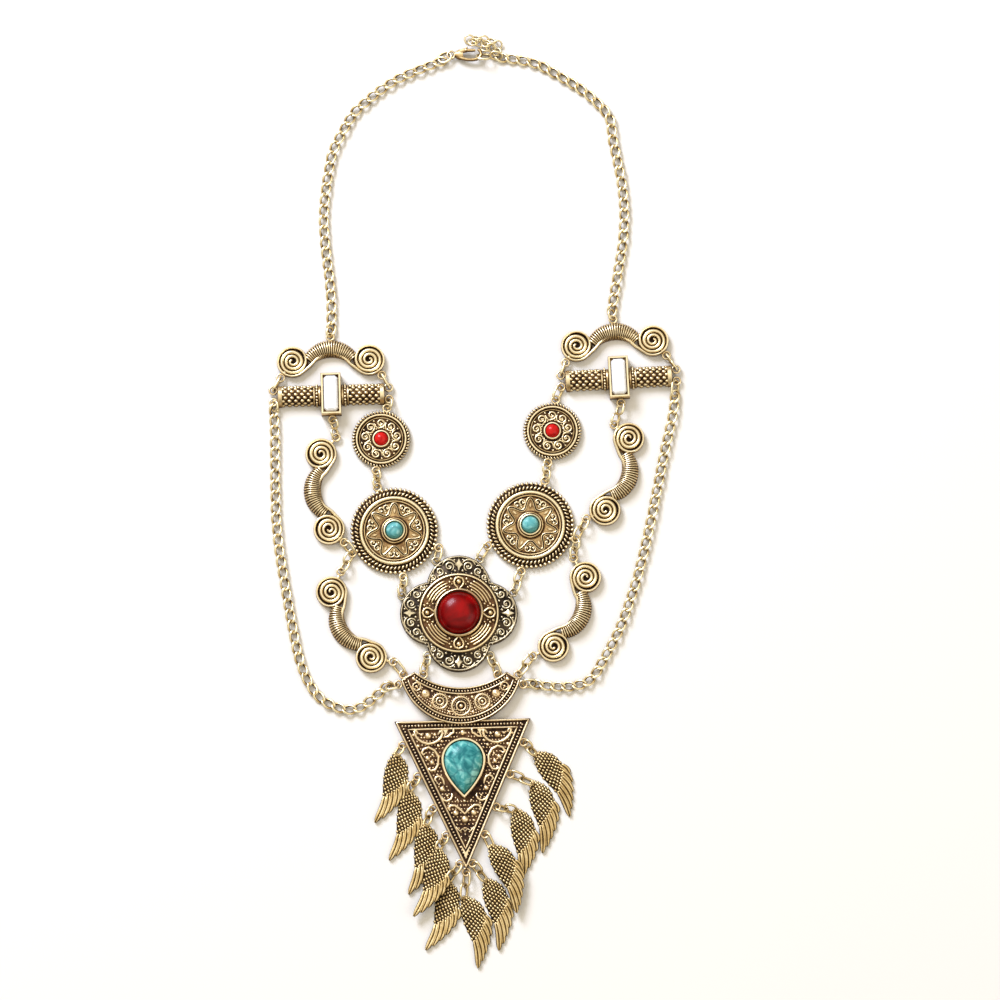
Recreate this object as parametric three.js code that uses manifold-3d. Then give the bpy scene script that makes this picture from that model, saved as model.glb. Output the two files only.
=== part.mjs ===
// A tassel necklace in antique gold, lying flat: two neck chains with a lobster clasp and a
// short extender, two arch scrolls with bars below them, two rows of medallions that meet at
// a quatrefoil with a red cabochon, scroll castings and long chains at the sides, and a
// crescent over a triangle that carries eleven wings. Millimetres, +Z up, backs at z = 0.
import * as THREE from 'three';
import { mergeVertices } from 'three/addons/utils/BufferGeometryUtils.js';
import Module from 'manifold-3d';

const wasm = await Module();
wasm.setup();

const EYE_HEIGHT = 1.5;        // height of the middle of every cast eye and ring crossing
const EYE_RADIUS = 1.4;
const EYE_WIRE = 0.4;
const RING_WIRE = 0.34;
const RING_HALF_WIDTH = 1.95;
const RING_TILT = THREE.MathUtils.degToRad(30);   // how far a jump ring leans from upright
const FLOOR_GAP = 0.05;
const SEAT_GAP = 0.3;          // between a stone and its setting

const SCROLL_REACH = 14.6;     // from the middle of a scroll casting to each spiral disc
const SCROLL_DISC = 6.1;
const SCROLL_CROWN = 4.9;
const COIL_HALF_WIDTH = 3.5;

const CHAIN_WIDTH = 4.3;
const CHAIN_HEIGHT = 2.3;

const gold = new THREE.MeshStandardMaterial({ color: 0xb8943f, roughness: 0.38, metalness: 1 });
const brightGold = new THREE.MeshStandardMaterial({ color: 0xd9bb6a, roughness: 0.28, metalness: 1 });
const darkGold = new THREE.MeshStandardMaterial({ color: 0x7d6636, roughness: 0.5, metalness: 1 });
const redStone = new THREE.MeshStandardMaterial({ color: 0xa80f12, roughness: 0.12, metalness: 0 });
const turquoise = new THREE.MeshStandardMaterial({ color: 0x48b3ab, roughness: 0.3, metalness: 0 });
const crystal = new THREE.MeshStandardMaterial({ color: 0xe9eef2, roughness: 0.03, metalness: 0 });

const necklace = new THREE.Group();

// ---------------------------------------------------------------- solids and meshes

function solidOf(geometry) {
  const bare = geometry.clone();
  bare.deleteAttribute('normal');
  bare.deleteAttribute('uv');
  const merged = mergeVertices(bare, 1e-4);
  const corners = merged.index.array;
  const kept = [];
  for (let i = 0; i < corners.length; i += 3) {
    const [a, b, c] = [corners[i], corners[i + 1], corners[i + 2]];
    if (a !== b && b !== c && c !== a) kept.push(a, b, c);
  }
  return new wasm.Manifold(new wasm.Mesh({
    numProp: 3,
    vertProperties: new Float32Array(merged.attributes.position.array),
    triVerts: new Uint32Array(kept),
  }));
}

function fuse(solids) {
  return solids.reduce((whole, solid) => whole.add(solid));
}

function addMesh(name, solid, material) {
  const { vertProperties, triVerts } = solid.getMesh();
  const geometry = new THREE.BufferGeometry();
  geometry.setAttribute('position', new THREE.BufferAttribute(new Float32Array(vertProperties), 3));
  geometry.setIndex(new THREE.BufferAttribute(new Uint32Array(triVerts), 1));
  geometry.computeVertexNormals();
  const mesh = new THREE.Mesh(geometry, material);
  mesh.name = name;
  necklace.add(mesh);
}

// A closed skin through equal rings of points, with flat ends.
function loft(sections) {
  const count = sections[0].length;
  const points = sections.flat();
  const faces = [];
  for (let s = 0; s < sections.length - 1; s++) {
    for (let i = 0; i < count; i++) {
      const a = s * count + i;
      const b = s * count + (i + 1) % count;
      faces.push(a, b, b + count, a, b + count, a + count);
    }
  }
  const last = (sections.length - 1) * count;
  for (let i = 1; i < count - 1; i++) {
    faces.push(0, i + 1, i);
    faces.push(last, last + i, last + i + 1);
  }
  return outward(points, faces);
}

// Builds the geometry and turns its faces outwards if they point in.
function outward(points, faces) {
  let volume = 0;
  for (let i = 0; i < faces.length; i += 3) {
    const [a, b, c] = [points[faces[i]], points[faces[i + 1]], points[faces[i + 2]]];
    volume += a.dot(new THREE.Vector3().crossVectors(b, c));
  }
  const order = volume < 0 ? faces.slice().reverse() : faces;
  const geometry = new THREE.BufferGeometry();
  geometry.setAttribute('position', new THREE.Float32BufferAttribute(points.flatMap((p) => p.toArray()), 3));
  geometry.setIndex(order);
  return geometry;
}

// A closed round wire in the plane of the unit vectors u and w: a circle, or a longer ring with
// straight sides and round ends.
function ovalWire(centre, u, w, halfLength, halfWidth, wire, steps, sides) {
  const across = new THREE.Vector3().crossVectors(u, w);
  const points = [];
  const faces = [];
  for (let i = 0; i < steps; i++) {
    const turn = (i / steps) * Math.PI * 2;
    const [c, s] = [Math.cos(turn), Math.sin(turn)];
    const reach = Math.sign(c) * (halfLength - halfWidth) + halfWidth * c;
    const middle = centre.clone().addScaledVector(u, reach).addScaledVector(w, halfWidth * s);
    const ahead = u.clone().multiplyScalar(-s).addScaledVector(w, c);
    const out = new THREE.Vector3().crossVectors(ahead, across);
    for (let j = 0; j < sides; j++) {
      const around = (j / sides) * Math.PI * 2;
      points.push(middle.clone().addScaledVector(out, wire * Math.cos(around))
        .addScaledVector(across, wire * Math.sin(around)));
      const [next, beside] = [(i + 1) % steps, (j + 1) % sides];
      const [a, b] = [i * sides + j, i * sides + beside];
      const [d, e] = [next * sides + j, next * sides + beside];
      faces.push(a, b, e, a, e, d);
    }
  }
  return solidOf(outward(points, faces));
}

const X = new THREE.Vector3(1, 0, 0);
const Y = new THREE.Vector3(0, 1, 0);

function eye(x, y) {
  return ovalWire(new THREE.Vector3(x, y, EYE_HEIGHT), X, Y, EYE_RADIUS, EYE_RADIUS, EYE_WIRE, 7, 3);
}

// A cast eye with the short stem that joins it to the casting, towards the point given.
function stemmedEye([x, y], [towardX, towardY], stem = 1.3) {
  const away = Math.hypot(towardX - x, towardY - y);
  const [stepX, stepY] = [(towardX - x) / away, (towardY - y) / away];
  const [from, to] = [EYE_RADIUS, EYE_RADIUS + stem];
  const post = ridge([[x + stepX * from, y + stepY * from], [x + stepX * to, y + stepY * to]], 1.8, 1.0, 1.9);
  return eye(x, y).add(post);
}

// A jump ring through the eyes at a and b. It stands on the floor, leans to one side, and
// crosses the height of the eyes exactly at their middles.
function jumpRing(a, b, lean = 1, halfWidth = RING_HALF_WIDTH, tilt = RING_TILT) {
  const u = new THREE.Vector3(b[0] - a[0], b[1] - a[1], 0);
  const half = u.length() / 2;
  u.normalize();
  const v = new THREE.Vector3(-u.y, u.x, 0);
  const w = v.clone().multiplyScalar(Math.sin(tilt) * lean);
  w.z = Math.cos(tilt);
  const centreHeight = FLOOR_GAP + RING_WIRE + halfWidth * Math.cos(tilt);
  const rise = centreHeight - EYE_HEIGHT;
  const drop = rise / (halfWidth * Math.cos(tilt));
  const centre = new THREE.Vector3((a[0] + b[0]) / 2, (a[1] + b[1]) / 2, centreHeight);
  centre.addScaledVector(v, rise * Math.tan(tilt) * lean);
  const halfLength = half + halfWidth * (1 - Math.sqrt(1 - drop * drop));
  return ovalWire(centre, u, w, halfLength, halfWidth, RING_WIRE, 10, 5);
}

// Rings from point to point, leaning by turns to one side and the other; 0 stands upright.
function ringRun(points, lean) {
  const rings = [];
  for (let i = 0; i < points.length - 1; i++) {
    const tilt = lean === 0 ? 0 : RING_TILT;
    rings.push(jumpRing(points[i], points[i + 1], i % 2 === 0 ? lean : -lean, RING_HALF_WIDTH, tilt));
  }
  return fuse(rings);
}

function plate(shape, bottom, top, curveSegments = 8) {
  const geometry = new THREE.ExtrudeGeometry(shape, {
    depth: top - bottom, bevelEnabled: false, curveSegments,
  });
  geometry.translate(0, 0, bottom);
  return solidOf(geometry);
}

// A turned form from [radius, height] pairs that start and end on the axis.
function turned(profile, sides, x = 0, y = 0) {
  const geometry = new THREE.LatheGeometry(profile.map(([r, z]) => new THREE.Vector2(r, z)), sides);
  geometry.rotateX(Math.PI / 2);
  geometry.translate(x, y, 0);
  return solidOf(geometry);
}

function dome(x, y, radius, bottom, height, sides) {
  const profile = [[0, bottom], [radius, bottom]];
  for (const turn of [25, 50, 72]) {
    const angle = THREE.MathUtils.degToRad(turn);
    profile.push([radius * Math.cos(angle), bottom + height * Math.sin(angle)]);
  }
  profile.push([0, bottom + height]);
  return turned(profile, sides, x, y);
}

function stud(x, y, radius, bottom, height, sides = 5) {
  return turned([[0, bottom], [radius, bottom], [0, bottom + height]], sides, x, y);
}

function boxSolid(x, y, z, width, depth, height) {
  const geometry = new THREE.BoxGeometry(width, depth, height);
  geometry.translate(x, y, z);
  return solidOf(geometry);
}

// A raised line with a three-sided section along [x, y] points.
function ridge(points, width, bottom, top) {
  const sections = points.map(([x, y], i) => {
    const [px, py] = points[Math.max(i - 1, 0)];
    const [nx, ny] = points[Math.min(i + 1, points.length - 1)];
    const length = Math.hypot(nx - px, ny - py);
    const [sx, sy] = [-(ny - py) / length * width / 2, (nx - px) / length * width / 2];
    return [
      new THREE.Vector3(x - sx, y - sy, bottom), new THREE.Vector3(x + sx, y + sy, bottom),
      new THREE.Vector3(x, y, top),
    ];
  });
  return solidOf(loft(sections));
}

function arcPoints(x, y, radius, fromDegrees, toDegrees, steps) {
  const points = [];
  for (let i = 0; i <= steps; i++) {
    const angle = THREE.MathUtils.degToRad(fromDegrees + (toDegrees - fromDegrees) * i / steps);
    points.push([x + radius * Math.cos(angle), y + radius * Math.sin(angle)]);
  }
  return points;
}

function shapeOf(points) {
  return new THREE.Shape(points.map(([x, y]) => new THREE.Vector2(x, y)));
}

// ---------------------------------------------------------------- placing

// A place has x, y and turn in degrees. Its solids are made round their own middle.
function setDown(solid, place) {
  return solid.rotate([0, 0, place.turn ?? 0]).translate([place.x, place.y, 0]);
}

function fromPlace(place, [x, y]) {
  const angle = THREE.MathUtils.degToRad(place.turn ?? 0);
  return [
    place.x + x * Math.cos(angle) - y * Math.sin(angle),
    place.y + x * Math.sin(angle) + y * Math.cos(angle),
  ];
}

function polar(x, y, distance, degrees) {
  const angle = THREE.MathUtils.degToRad(degrees);
  return [x + distance * Math.cos(angle), y + distance * Math.sin(angle)];
}

// ---------------------------------------------------------------- scroll castings

// Two flat spiral discs joined by a ribbed coil that is thickest in its middle.
function scrollCasting(eyes) {
  const parts = [];
  for (const side of [-1, 1]) {
    const x = side * SCROLL_REACH;
    parts.push(turned([[0, 0], [SCROLL_DISC, 0], [SCROLL_DISC, 1.9], [0, 1.9]], 14, x, 0));
    const spiral = [];
    const turns = 1.9;
    const steps = 11;
    const [innerEnd, outerEnd] = [0.9, SCROLL_DISC - 0.8];
    for (let i = 0; i <= steps; i++) {
      const t = i / steps;
      const angle = 90 + side * (125 + t * turns * 360);
      spiral.push(polar(x, 0, outerEnd + (innerEnd - outerEnd) * t, angle));
    }
    parts.push(ridge(spiral, 1.9, 1.6, 2.8));
  }
  parts.push(coil());
  eyes.forEach((point, i) => {
    const root = [[-SCROLL_REACH, 0], [SCROLL_REACH, 0]][i];
    parts.push(root ? stemmedEye(point, root, 2) : eye(...point));
  });
  return fuse(parts);
}

function coil() {
  const chord = 9.6;
  const sag = SCROLL_CROWN - 0.4;
  const radius = (chord * chord + sag * sag) / (2 * sag);
  const half = Math.asin(chord / radius);
  const sections = [];
  const steps = 10;
  for (let i = 0; i <= steps; i++) {
    const along = 2 * i / steps - 1;
    const angle = Math.PI / 2 - along * half;
    const swell = 1 - Math.pow(Math.abs(along), 2.2);
    const rib = i % 2 === 0 ? 1 : 0.93;
    const width = (1.8 + (COIL_HALF_WIDTH - 1.8) * swell) * rib;
    const height = (2.4 + 1.8 * swell) * rib;
    const outline = [[-1, 0], [-0.8, 0.7], [0, 1], [0.8, 0.7], [1, 0]];
    sections.push(outline.map(([across, up]) => {
      const r = radius + across * width;
      const y = SCROLL_CROWN - radius + r * Math.sin(angle);
      return new THREE.Vector3(r * Math.cos(angle), y, up * height);
    }));
  }
  return solidOf(loft(sections));
}

const scrolls = {
  archLeft: { x: -48.85, y: 97.1, turn: 1.6, outer: [-128, 7.6], inner: [-52, 7.6], crown: true },
  archRight: { x: 59.35, y: 103.9, turn: 4.1, outer: [-128, 7.6], inner: [-52, 7.6], crown: true },
  upperLeft: { x: -50.85, y: 46.6, turn: 96.3, outer: [-138, 7.6], inner: [-48, 8.6] },
  upperRight: { x: 60.0, y: 53.3, turn: -108.2, outer: [-115, 7.6], inner: [-47, 7.8] },
  lowerLeft: { x: -40.7, y: -4.6, turn: 121.2, outer: [-133, 8.4], inner: [-55, 8.6] },
  lowerRight: { x: 41.9, y: 0.3, turn: -114.6, outer: [-124, 8.6], inner: [-41, 8.6] },
};

// The eyes of a scroll casting in its own frame: beside each disc, and over an arch's crown.
function scrollEyes(place) {
  const eyes = [
    polar(-SCROLL_REACH, 0, place.outer[1], place.outer[0]),
    polar(SCROLL_REACH, 0, place.inner[1], place.inner[0]),
  ];
  if (place.crown) eyes.push([0, SCROLL_CROWN + COIL_HALF_WIDTH + 0.95]);
  return eyes;
}

const scrollNames = {
  archLeft: 'arch_scroll_left', archRight: 'arch_scroll_right',
  upperLeft: 'scroll_upper_left', upperRight: 'scroll_upper_right',
  lowerLeft: 'scroll_lower_left', lowerRight: 'scroll_lower_right',
};
const at = {};
for (const [key, place] of Object.entries(scrolls)) {
  const eyes = scrollEyes(place);
  addMesh(scrollNames[key], setDown(scrollCasting(eyes), place), gold);
  at[key] = eyes.map((point) => fromPlace(place, point));
}

// ---------------------------------------------------------------- bars with a crystal

const BAR_HALF = 20.3;
const FRAME_WIDTH = 7.6;
const FRAME_HEIGHT = 15.8;
const STONE_WIDTH = 5.6;
const STONE_LENGTH = 13.9;

// A half round rod with end collars and a wider middle, and the stone's frame across it.
function barCasting(eyes) {
  const steps = [[18.4, 4.25, 5.3], [18.3, 3.95, 4.9], [5.7, 3.95, 4.9], [5.6, 4.2, 5.25]];
  const stations = [[BAR_HALF, 4.25, 5.3], ...steps];
  const mirrored = stations.map(([x, half, height]) => [-x, half, height]).reverse();
  const rod = [...stations, ...mirrored].map(([x, half, height]) => (
    arcPoints(0, 0, 1, 0, 180, 6).map(([c, s]) => new THREE.Vector3(x, c * half, s * height))));
  const parts = [solidOf(loft(rod)), boxSolid(0, 0, 2.9, FRAME_WIDTH, FRAME_HEIGHT, 5.8)];
  for (const [x, y] of eyes) parts.push(stemmedEye([x, y], Math.abs(x) > 1 ? [0, y] : [0, 0]));
  const seat = boxSolid(0, 0, 6, STONE_WIDTH + 2 * SEAT_GAP, STONE_LENGTH + 2 * SEAT_GAP, 5);
  return fuse(parts).subtract(seat);
}

// A step cut stone: a table over two rows of eight facets.
function baguette() {
  const level = (inset, height) => {
    const [a, b] = [STONE_WIDTH / 2 - inset, STONE_LENGTH / 2 - inset];
    const cut = 1.1 - inset * 0.4;
    return [[a, b - cut], [a - cut, b], [-a + cut, b], [-a, b - cut], [-a, -b + cut], [-a + cut, -b],
      [a - cut, -b], [a, -b + cut]].map(([x, y]) => new THREE.Vector3(x, y, height));
  };
  return solidOf(loft([level(0.5, 3.8), level(0, 5), level(0.35, 6), level(1, 6.5)]));
}

const bars = {
  left: { x: -48.7, y: 83.9, turn: 1.6 },
  right: { x: 60.8, y: 90.4, turn: 3.0 },
};
const barEyes = [
  [-BAR_HALF - 1.7, 2.3], [-BAR_HALF - 1.7, -2.2], [BAR_HALF + 1.7, 2.3], [BAR_HALF + 1.7, -2.2],
  [0.3, -FRAME_HEIGHT / 2 - 1.6],
];
for (const [side, place] of Object.entries(bars)) {
  addMesh(`bar_${side}`, setDown(barCasting(barEyes), place), gold);
  addMesh(`crystal_${side}`, setDown(baguette(), place), crystal);
  at[side === 'left' ? 'barLeft' : 'barRight'] = barEyes.map((point) => fromPlace(place, point));
}

// ---------------------------------------------------------------- medallions

const SMALL_RADIUS = 11.1;
const TURQUOISE_RADIUS = 16.9;
const STAR_POINTS = 7;

function smallMedallion(eyes) {
  const parts = [turned([
    [0, 0], [SMALL_RADIUS, 0], [SMALL_RADIUS, 1.9], [9.6, 2.8], [8.2, 1.9], [4.1, 1.9], [3.6, 3.3],
    [2.6 + SEAT_GAP, 3.3], [2.6 + SEAT_GAP, 2], [0, 2],
  ], 20)];
  for (let i = 0; i < 8; i++) {
    const [x, y] = polar(0, 0, 6.2, i * 45 + 22.5);
    parts.push(stud(x, y, 1.6, 1.7, 1.1));
  }
  for (const point of eyes) parts.push(eye(...point));
  return fuse(parts);
}

function turquoiseMedallion(eyes) {
  const parts = [turned([
    [0, 0], [TURQUOISE_RADIUS, 0], [TURQUOISE_RADIUS, 1.9], [15.4, 1.9], [13, 3.3], [12.2, 2.3],
    [5.2, 2.3], [4.6, 4], [3.2 + SEAT_GAP, 4], [3.2 + SEAT_GAP, 2.6], [0, 2.6],
  ], 22)];
  const star = (tips, valleys) => {
    const points = [];
    for (let i = 0; i < 2 * STAR_POINTS; i++) {
      points.push(polar(0, 0, i % 2 === 0 ? tips : valleys, 90 + i * 180 / STAR_POINTS));
    }
    return shapeOf(points);
  };
  const line = star(11.4, 7);
  line.holes.push(star(9.6, 6));
  parts.push(plate(line, 2.1, 3));
  for (const point of eyes) parts.push(eye(...point));
  return fuse(parts);
}

const SMALL_EYE = SMALL_RADIUS + 1.15;
const TURQUOISE_EYE = TURQUOISE_RADIUS + 1.15;
const medallions = [
  { key: 'smallLeft', name: 'small_medallion_left', x: -29.6, y: 66.8, eyes: [80, -99], small: true },
  { key: 'smallRight', name: 'small_medallion_right', x: 35.5, y: 69.9, eyes: [84, -98], small: true },
  { key: 'turqLeft', name: 'turquoise_medallion_left', x: -24.5, y: 31.4, eyes: [111, -152, -79, -21] },
  { key: 'turqRight', name: 'turquoise_medallion_right', x: 27.1, y: 33.6, eyes: [72, -17, -101, -154] },
];
for (const { key, name, x, y, eyes, small } of medallions) {
  const points = eyes.map((degrees) => polar(0, 0, small ? SMALL_EYE : TURQUOISE_EYE, degrees));
  addMesh(name, setDown(small ? smallMedallion(points) : turquoiseMedallion(points), { x, y }), gold);
  at[key] = points.map((point) => fromPlace({ x, y }, point));
  const stone = small ? dome(x, y, 2.6, 2.3, 2, 12) : dome(x, y, 3.2, 2.9, 2.5, 14);
  const side = key.endsWith('Left') ? 'left' : 'right';
  addMesh(small ? `small_red_stone_${side}` : `turquoise_stone_${side}`, stone, small ? redStone : turquoise);
}

// ---------------------------------------------------------------- quatrefoil

const LOBE_OFFSET = 10.2;
const LOBE_RADIUS = 12.1;
const CABOCHON_RADIUS = 8.1;

// Four lobes round a middle: arcs that meet in the notches on the diagonals.
function quatrefoil(offset, radius) {
  const notch = (offset + Math.sqrt(2 * radius * radius - offset * offset)) / 2;
  const reach = Math.atan2(notch, notch - offset);
  const points = [];
  const steps = 6;
  for (let lobe = 0; lobe < 4; lobe++) {
    for (let i = 0; i < steps; i++) {
      const angle = -reach + 2 * reach * i / steps;
      const [x, y] = [offset + radius * Math.cos(angle), radius * Math.sin(angle)];
      const turn = lobe * Math.PI / 2;
      points.push([x * Math.cos(turn) - y * Math.sin(turn), x * Math.sin(turn) + y * Math.cos(turn)]);
    }
  }
  return shapeOf(points);
}

function flowerMedallion(eyes) {
  const rim = quatrefoil(LOBE_OFFSET, LOBE_RADIUS);
  rim.holes.push(quatrefoil(LOBE_OFFSET, LOBE_RADIUS - 1));
  const parts = [
    plate(quatrefoil(LOBE_OFFSET, LOBE_RADIUS - 0.2), 0, 2.2),
    plate(rim, 1.4, 3),
    turned([
      [0, 1], [15.2, 1], [15, 4], [13.9, 3.3], [10, 3.6], [9.4, 5.4],
      [CABOCHON_RADIUS + SEAT_GAP, 5.4], [CABOCHON_RADIUS + SEAT_GAP, 3.4], [0, 3.4],
    ], 22),
  ];
  for (let i = 0; i < 4; i++) {
    const [x, y] = polar(0, 0, 12, i * 90);
    parts.push(stud(x, y, 1.9, 3.1, 1.8));
    const [leafX, leafY] = polar(0, 0, 18.4, i * 90);
    parts.push(stud(leafX, leafY, 1.7, 2, 1.2, 4));
    const from = i * 90 + 24;
    parts.push(ridge(arcPoints(0, 0, 12, from, from + 42, 3), 1.4, 3, 4.4));
  }
  for (const side of [-1, 1]) {
    for (let i = 0; i < 4; i++) {
      const [x, y] = polar(0, 0, 17.2, i * 90 + side * 24);
      parts.push(stud(x, y, 1.9, 2, 1.1, 4));
    }
  }
  for (const point of eyes) parts.push(eye(...point));
  return fuse(parts);
}

const flowerPlace = { x: 0, y: -0.4 };
const lobeEye = (x, y, degrees) => polar(x * LOBE_OFFSET, y * LOBE_OFFSET, LOBE_RADIUS + 1.15, degrees);
const flowerEyes = [
  lobeEye(-1, 0, 149), lobeEye(0, 1, 131), lobeEye(0, 1, 54),
  lobeEye(1, 0, 38), lobeEye(0, -1, -154), lobeEye(0, -1, -26),
];
addMesh('flower_medallion', setDown(flowerMedallion(flowerEyes), flowerPlace), darkGold);
addMesh('red_cabochon', dome(flowerPlace.x, flowerPlace.y, CABOCHON_RADIUS, 3.7, 4.6, 20), redStone);
at.flower = flowerEyes.map((point) => fromPlace(flowerPlace, point));

// ---------------------------------------------------------------- crescent and triangle

const CRESCENT = { x: 0.7, outerY: -19.5, outerRadius: 23.4, innerY: -1.0, innerRadius: 27.9 };
const TRIANGLE = { x: 1.4, y: -41.1, turn: 1.5, halfWidth: 25.7, height: 57.3 };
const PEAR = { y: -15.3, radius: 7.2, point: 13.2 };

function crescentOutline(inset) {
  const outerHalf = THREE.MathUtils.radToDeg(Math.acos(6.6 / CRESCENT.outerRadius));
  const outer = arcPoints(CRESCENT.x, CRESCENT.outerY, CRESCENT.outerRadius - inset,
    -90 - outerHalf + inset, -90 + outerHalf - inset, 14);
  const innerHalf = 38.6 - inset * 2.2;
  const inner = arcPoints(CRESCENT.x, CRESCENT.innerY, CRESCENT.innerRadius + inset,
    -90 + innerHalf, -90 - innerHalf, 8);
  return shapeOf([...outer, ...inner]);
}

function triangleOutline(inset) {
  const { halfWidth, height } = TRIANGLE;
  const slope = Math.hypot(halfWidth, height);
  const corner = inset * (slope + halfWidth) / height;
  return shapeOf([
    [-halfWidth + corner, -inset], [0, -height + inset * slope / halfWidth], [halfWidth - corner, -inset],
  ]);
}

// A pear outline: a round head and two sides that curve to a point below.
function pearOutline(grow) {
  const r = PEAR.radius + grow;
  const tip = PEAR.y - PEAR.point - grow * 1.4;
  const shape = new THREE.Shape();
  shape.moveTo(r, PEAR.y);
  shape.absarc(0, PEAR.y, r, 0, Math.PI, false);
  shape.bezierCurveTo(-r, PEAR.y - r * 0.75, -r * 0.35, tip + r * 0.35, 0, tip);
  shape.bezierCurveTo(r * 0.35, tip + r * 0.35, r, PEAR.y - r * 0.75, r, PEAR.y);
  return shape;
}

function trianglePlate(eyes) {
  const frame = triangleOutline(0);
  frame.holes.push(triangleOutline(0.8));
  const inner = triangleOutline(3);
  inner.holes.push(triangleOutline(3.7));
  const bezel = pearOutline(1.1);
  bezel.holes.push(pearOutline(SEAT_GAP));
  const parts = [
    plate(triangleOutline(0), 0, 1.9), plate(frame, 1.5, 2.8), plate(inner, 1.5, 2.8),
    plate(bezel, 1.5, 4, 6),
  ];
  for (const side of [-1, 1]) {
    parts.push(ridge(arcPoints(side * 13.1, -4.6, 3.2, 190, 350, 4), 1.3, 1.6, 2.9));
    parts.push(stud(side * 13.1, -5.2, 1.3, 1.7, 1.3));
    parts.push(ridge(arcPoints(side * 12.2, -14.9, 3, 90 - side * 110, 90 + side * 60, 4), 1.3, 1.6, 2.9));
    parts.push(stud(side * 11.9, -14.9, 1.2, 1.7, 1.3));
    parts.push(ridge(arcPoints(side * 8.4, -24.6, 2.2, 90 - side * 120, 90 + side * 60, 4), 1.3, 1.6, 2.9));
    parts.push(stud(side * 8.2, -25.2, 1, 1.7, 1.3));
    parts.push(ridge(arcPoints(side * 2.5, -34, 2.4, 90 + side * 85, 90 - side * 110, 4), 1.3, 1.6, 2.9));
    parts.push(stud(side * 2.7, -34.3, 1, 1.7, 1.3));
  }
  parts.push(stud(0, -4.7, 1.3, 1.7, 1.3), stud(0, -37.4, 1.4, 1.7, 1.4));
  for (const point of eyes) parts.push(eye(...point));
  return fuse(parts);
}

function crescentPlate(eyes) {
  const rim = crescentOutline(0);
  rim.holes.push(crescentOutline(0.9));
  const parts = [plate(crescentOutline(0), 0.6, 2.9), plate(rim, 2.5, 3.9)];
  const studs = [[-16.2, -27.6, 1.3], [-12.6, -30.6, 1.6], [-7.1, -33.6, 2.5], [0.9, -35.4, 3.1],
    [8.7, -33.6, 2.5], [14.2, -30.5, 1.6], [17.6, -27.4, 1.3]];
  for (const [x, y, radius] of studs) parts.push(stud(x, y, radius, 2.6, 1.3));
  for (const point of eyes) parts.push(eye(...point));
  return fuse(parts);
}

// The eleven eyes: five down each edge of the triangle and one below its point.
const edgeShares = [0.15, 0.36, 0.575, 0.755, 0.945];
const edgeEyes = [];
for (const side of [-1, 1]) {
  for (const share of edgeShares) {
    const { halfWidth, height } = TRIANGLE;
    const slope = Math.hypot(halfWidth, height);
    const [x, y] = [side * halfWidth * (1 - share), -height * share];
    edgeEyes.push([x + side * 1.1 * height / slope, y - 1.1 * halfWidth / slope]);
  }
}
edgeEyes.push([0, -TRIANGLE.height - 0.6]);

const crescentEyes = [
  [-21.0, -23.7], [-22.9, -27.5], [-13.4, -23.7], [14.8, -23.7], [22.4, -23.7], [24.3, -27.5],
];
addMesh('crescent_and_triangle',
  setDown(trianglePlate(edgeEyes), TRIANGLE).add(crescentPlate(crescentEyes)), darkGold);
at.crescent = crescentEyes;
at.edge = edgeEyes.map((point) => fromPlace(TRIANGLE, point));

function pearStone() {
  const levels = [[0, 2.2], [0, 3.4], [0.2, 5], [0.5, 6.2], [0.85, 6.7]];
  const outline = pearOutline(0).getPoints(5).slice(0, -1);
  const sections = levels.map(([inset, height]) => outline.map((p) => new THREE.Vector3(
    p.x * (1 - inset), PEAR.y - 2 + (p.y - PEAR.y + 2) * (1 - inset), height)));
  return solidOf(loft(sections));
}
addMesh('pear_stone', setDown(pearStone(), TRIANGLE), turquoise);

// ---------------------------------------------------------------- wings

// One wing: a scaled shoulder that ends in a slanting edge, and five feathers that step up from
// the long one on the left to the short one on the right.
function wing() {
  const rows = [
    { left: [-0.9, 0.4], right: [0.9, 0.4], top: 1.7 }, { left: [-3.3, -3.4], right: [3.1, -1.5], top: 2 },
    { left: [-4.5, -8], right: [4.8, -4.8], top: 2 }, { left: [-4.8, -16], right: [4.6, -8.6], top: 1.9 },
  ];
  const body = rows.map(({ left, right, top }) => [[0, 0], [0.2, 0.9], [0.8, 0.9], [1, 0]].map(([t, up]) => (
    new THREE.Vector3(left[0] + (right[0] - left[0]) * t, left[1] + (right[1] - left[1]) * t, up * top))));
  const feathers = [
    { root: [-3.9, -14], tip: [-7.7, -25.3] }, { root: [-2.3, -12.5], tip: [-5.2, -23.6] },
    { root: [-0.7, -11], tip: [-2.7, -21.6] }, { root: [0.9, -9.5], tip: [-0.1, -19.2] },
    { root: [3, -7.2], tip: [3.5, -13.8] },
  ];
  const parts = [solidOf(loft(body))];
  for (const { root, tip } of feathers) {
    const ends = [[root, 1.05, 1.6], [tip, 0.6, 1.3]];
    parts.push(solidOf(loft(ends.map(([[x, y], half, top]) => [
      new THREE.Vector3(x - half, y, 0), new THREE.Vector3(x, y, top), new THREE.Vector3(x + half, y, 0),
    ]))));
  }
  return fuse(parts);
}

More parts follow.
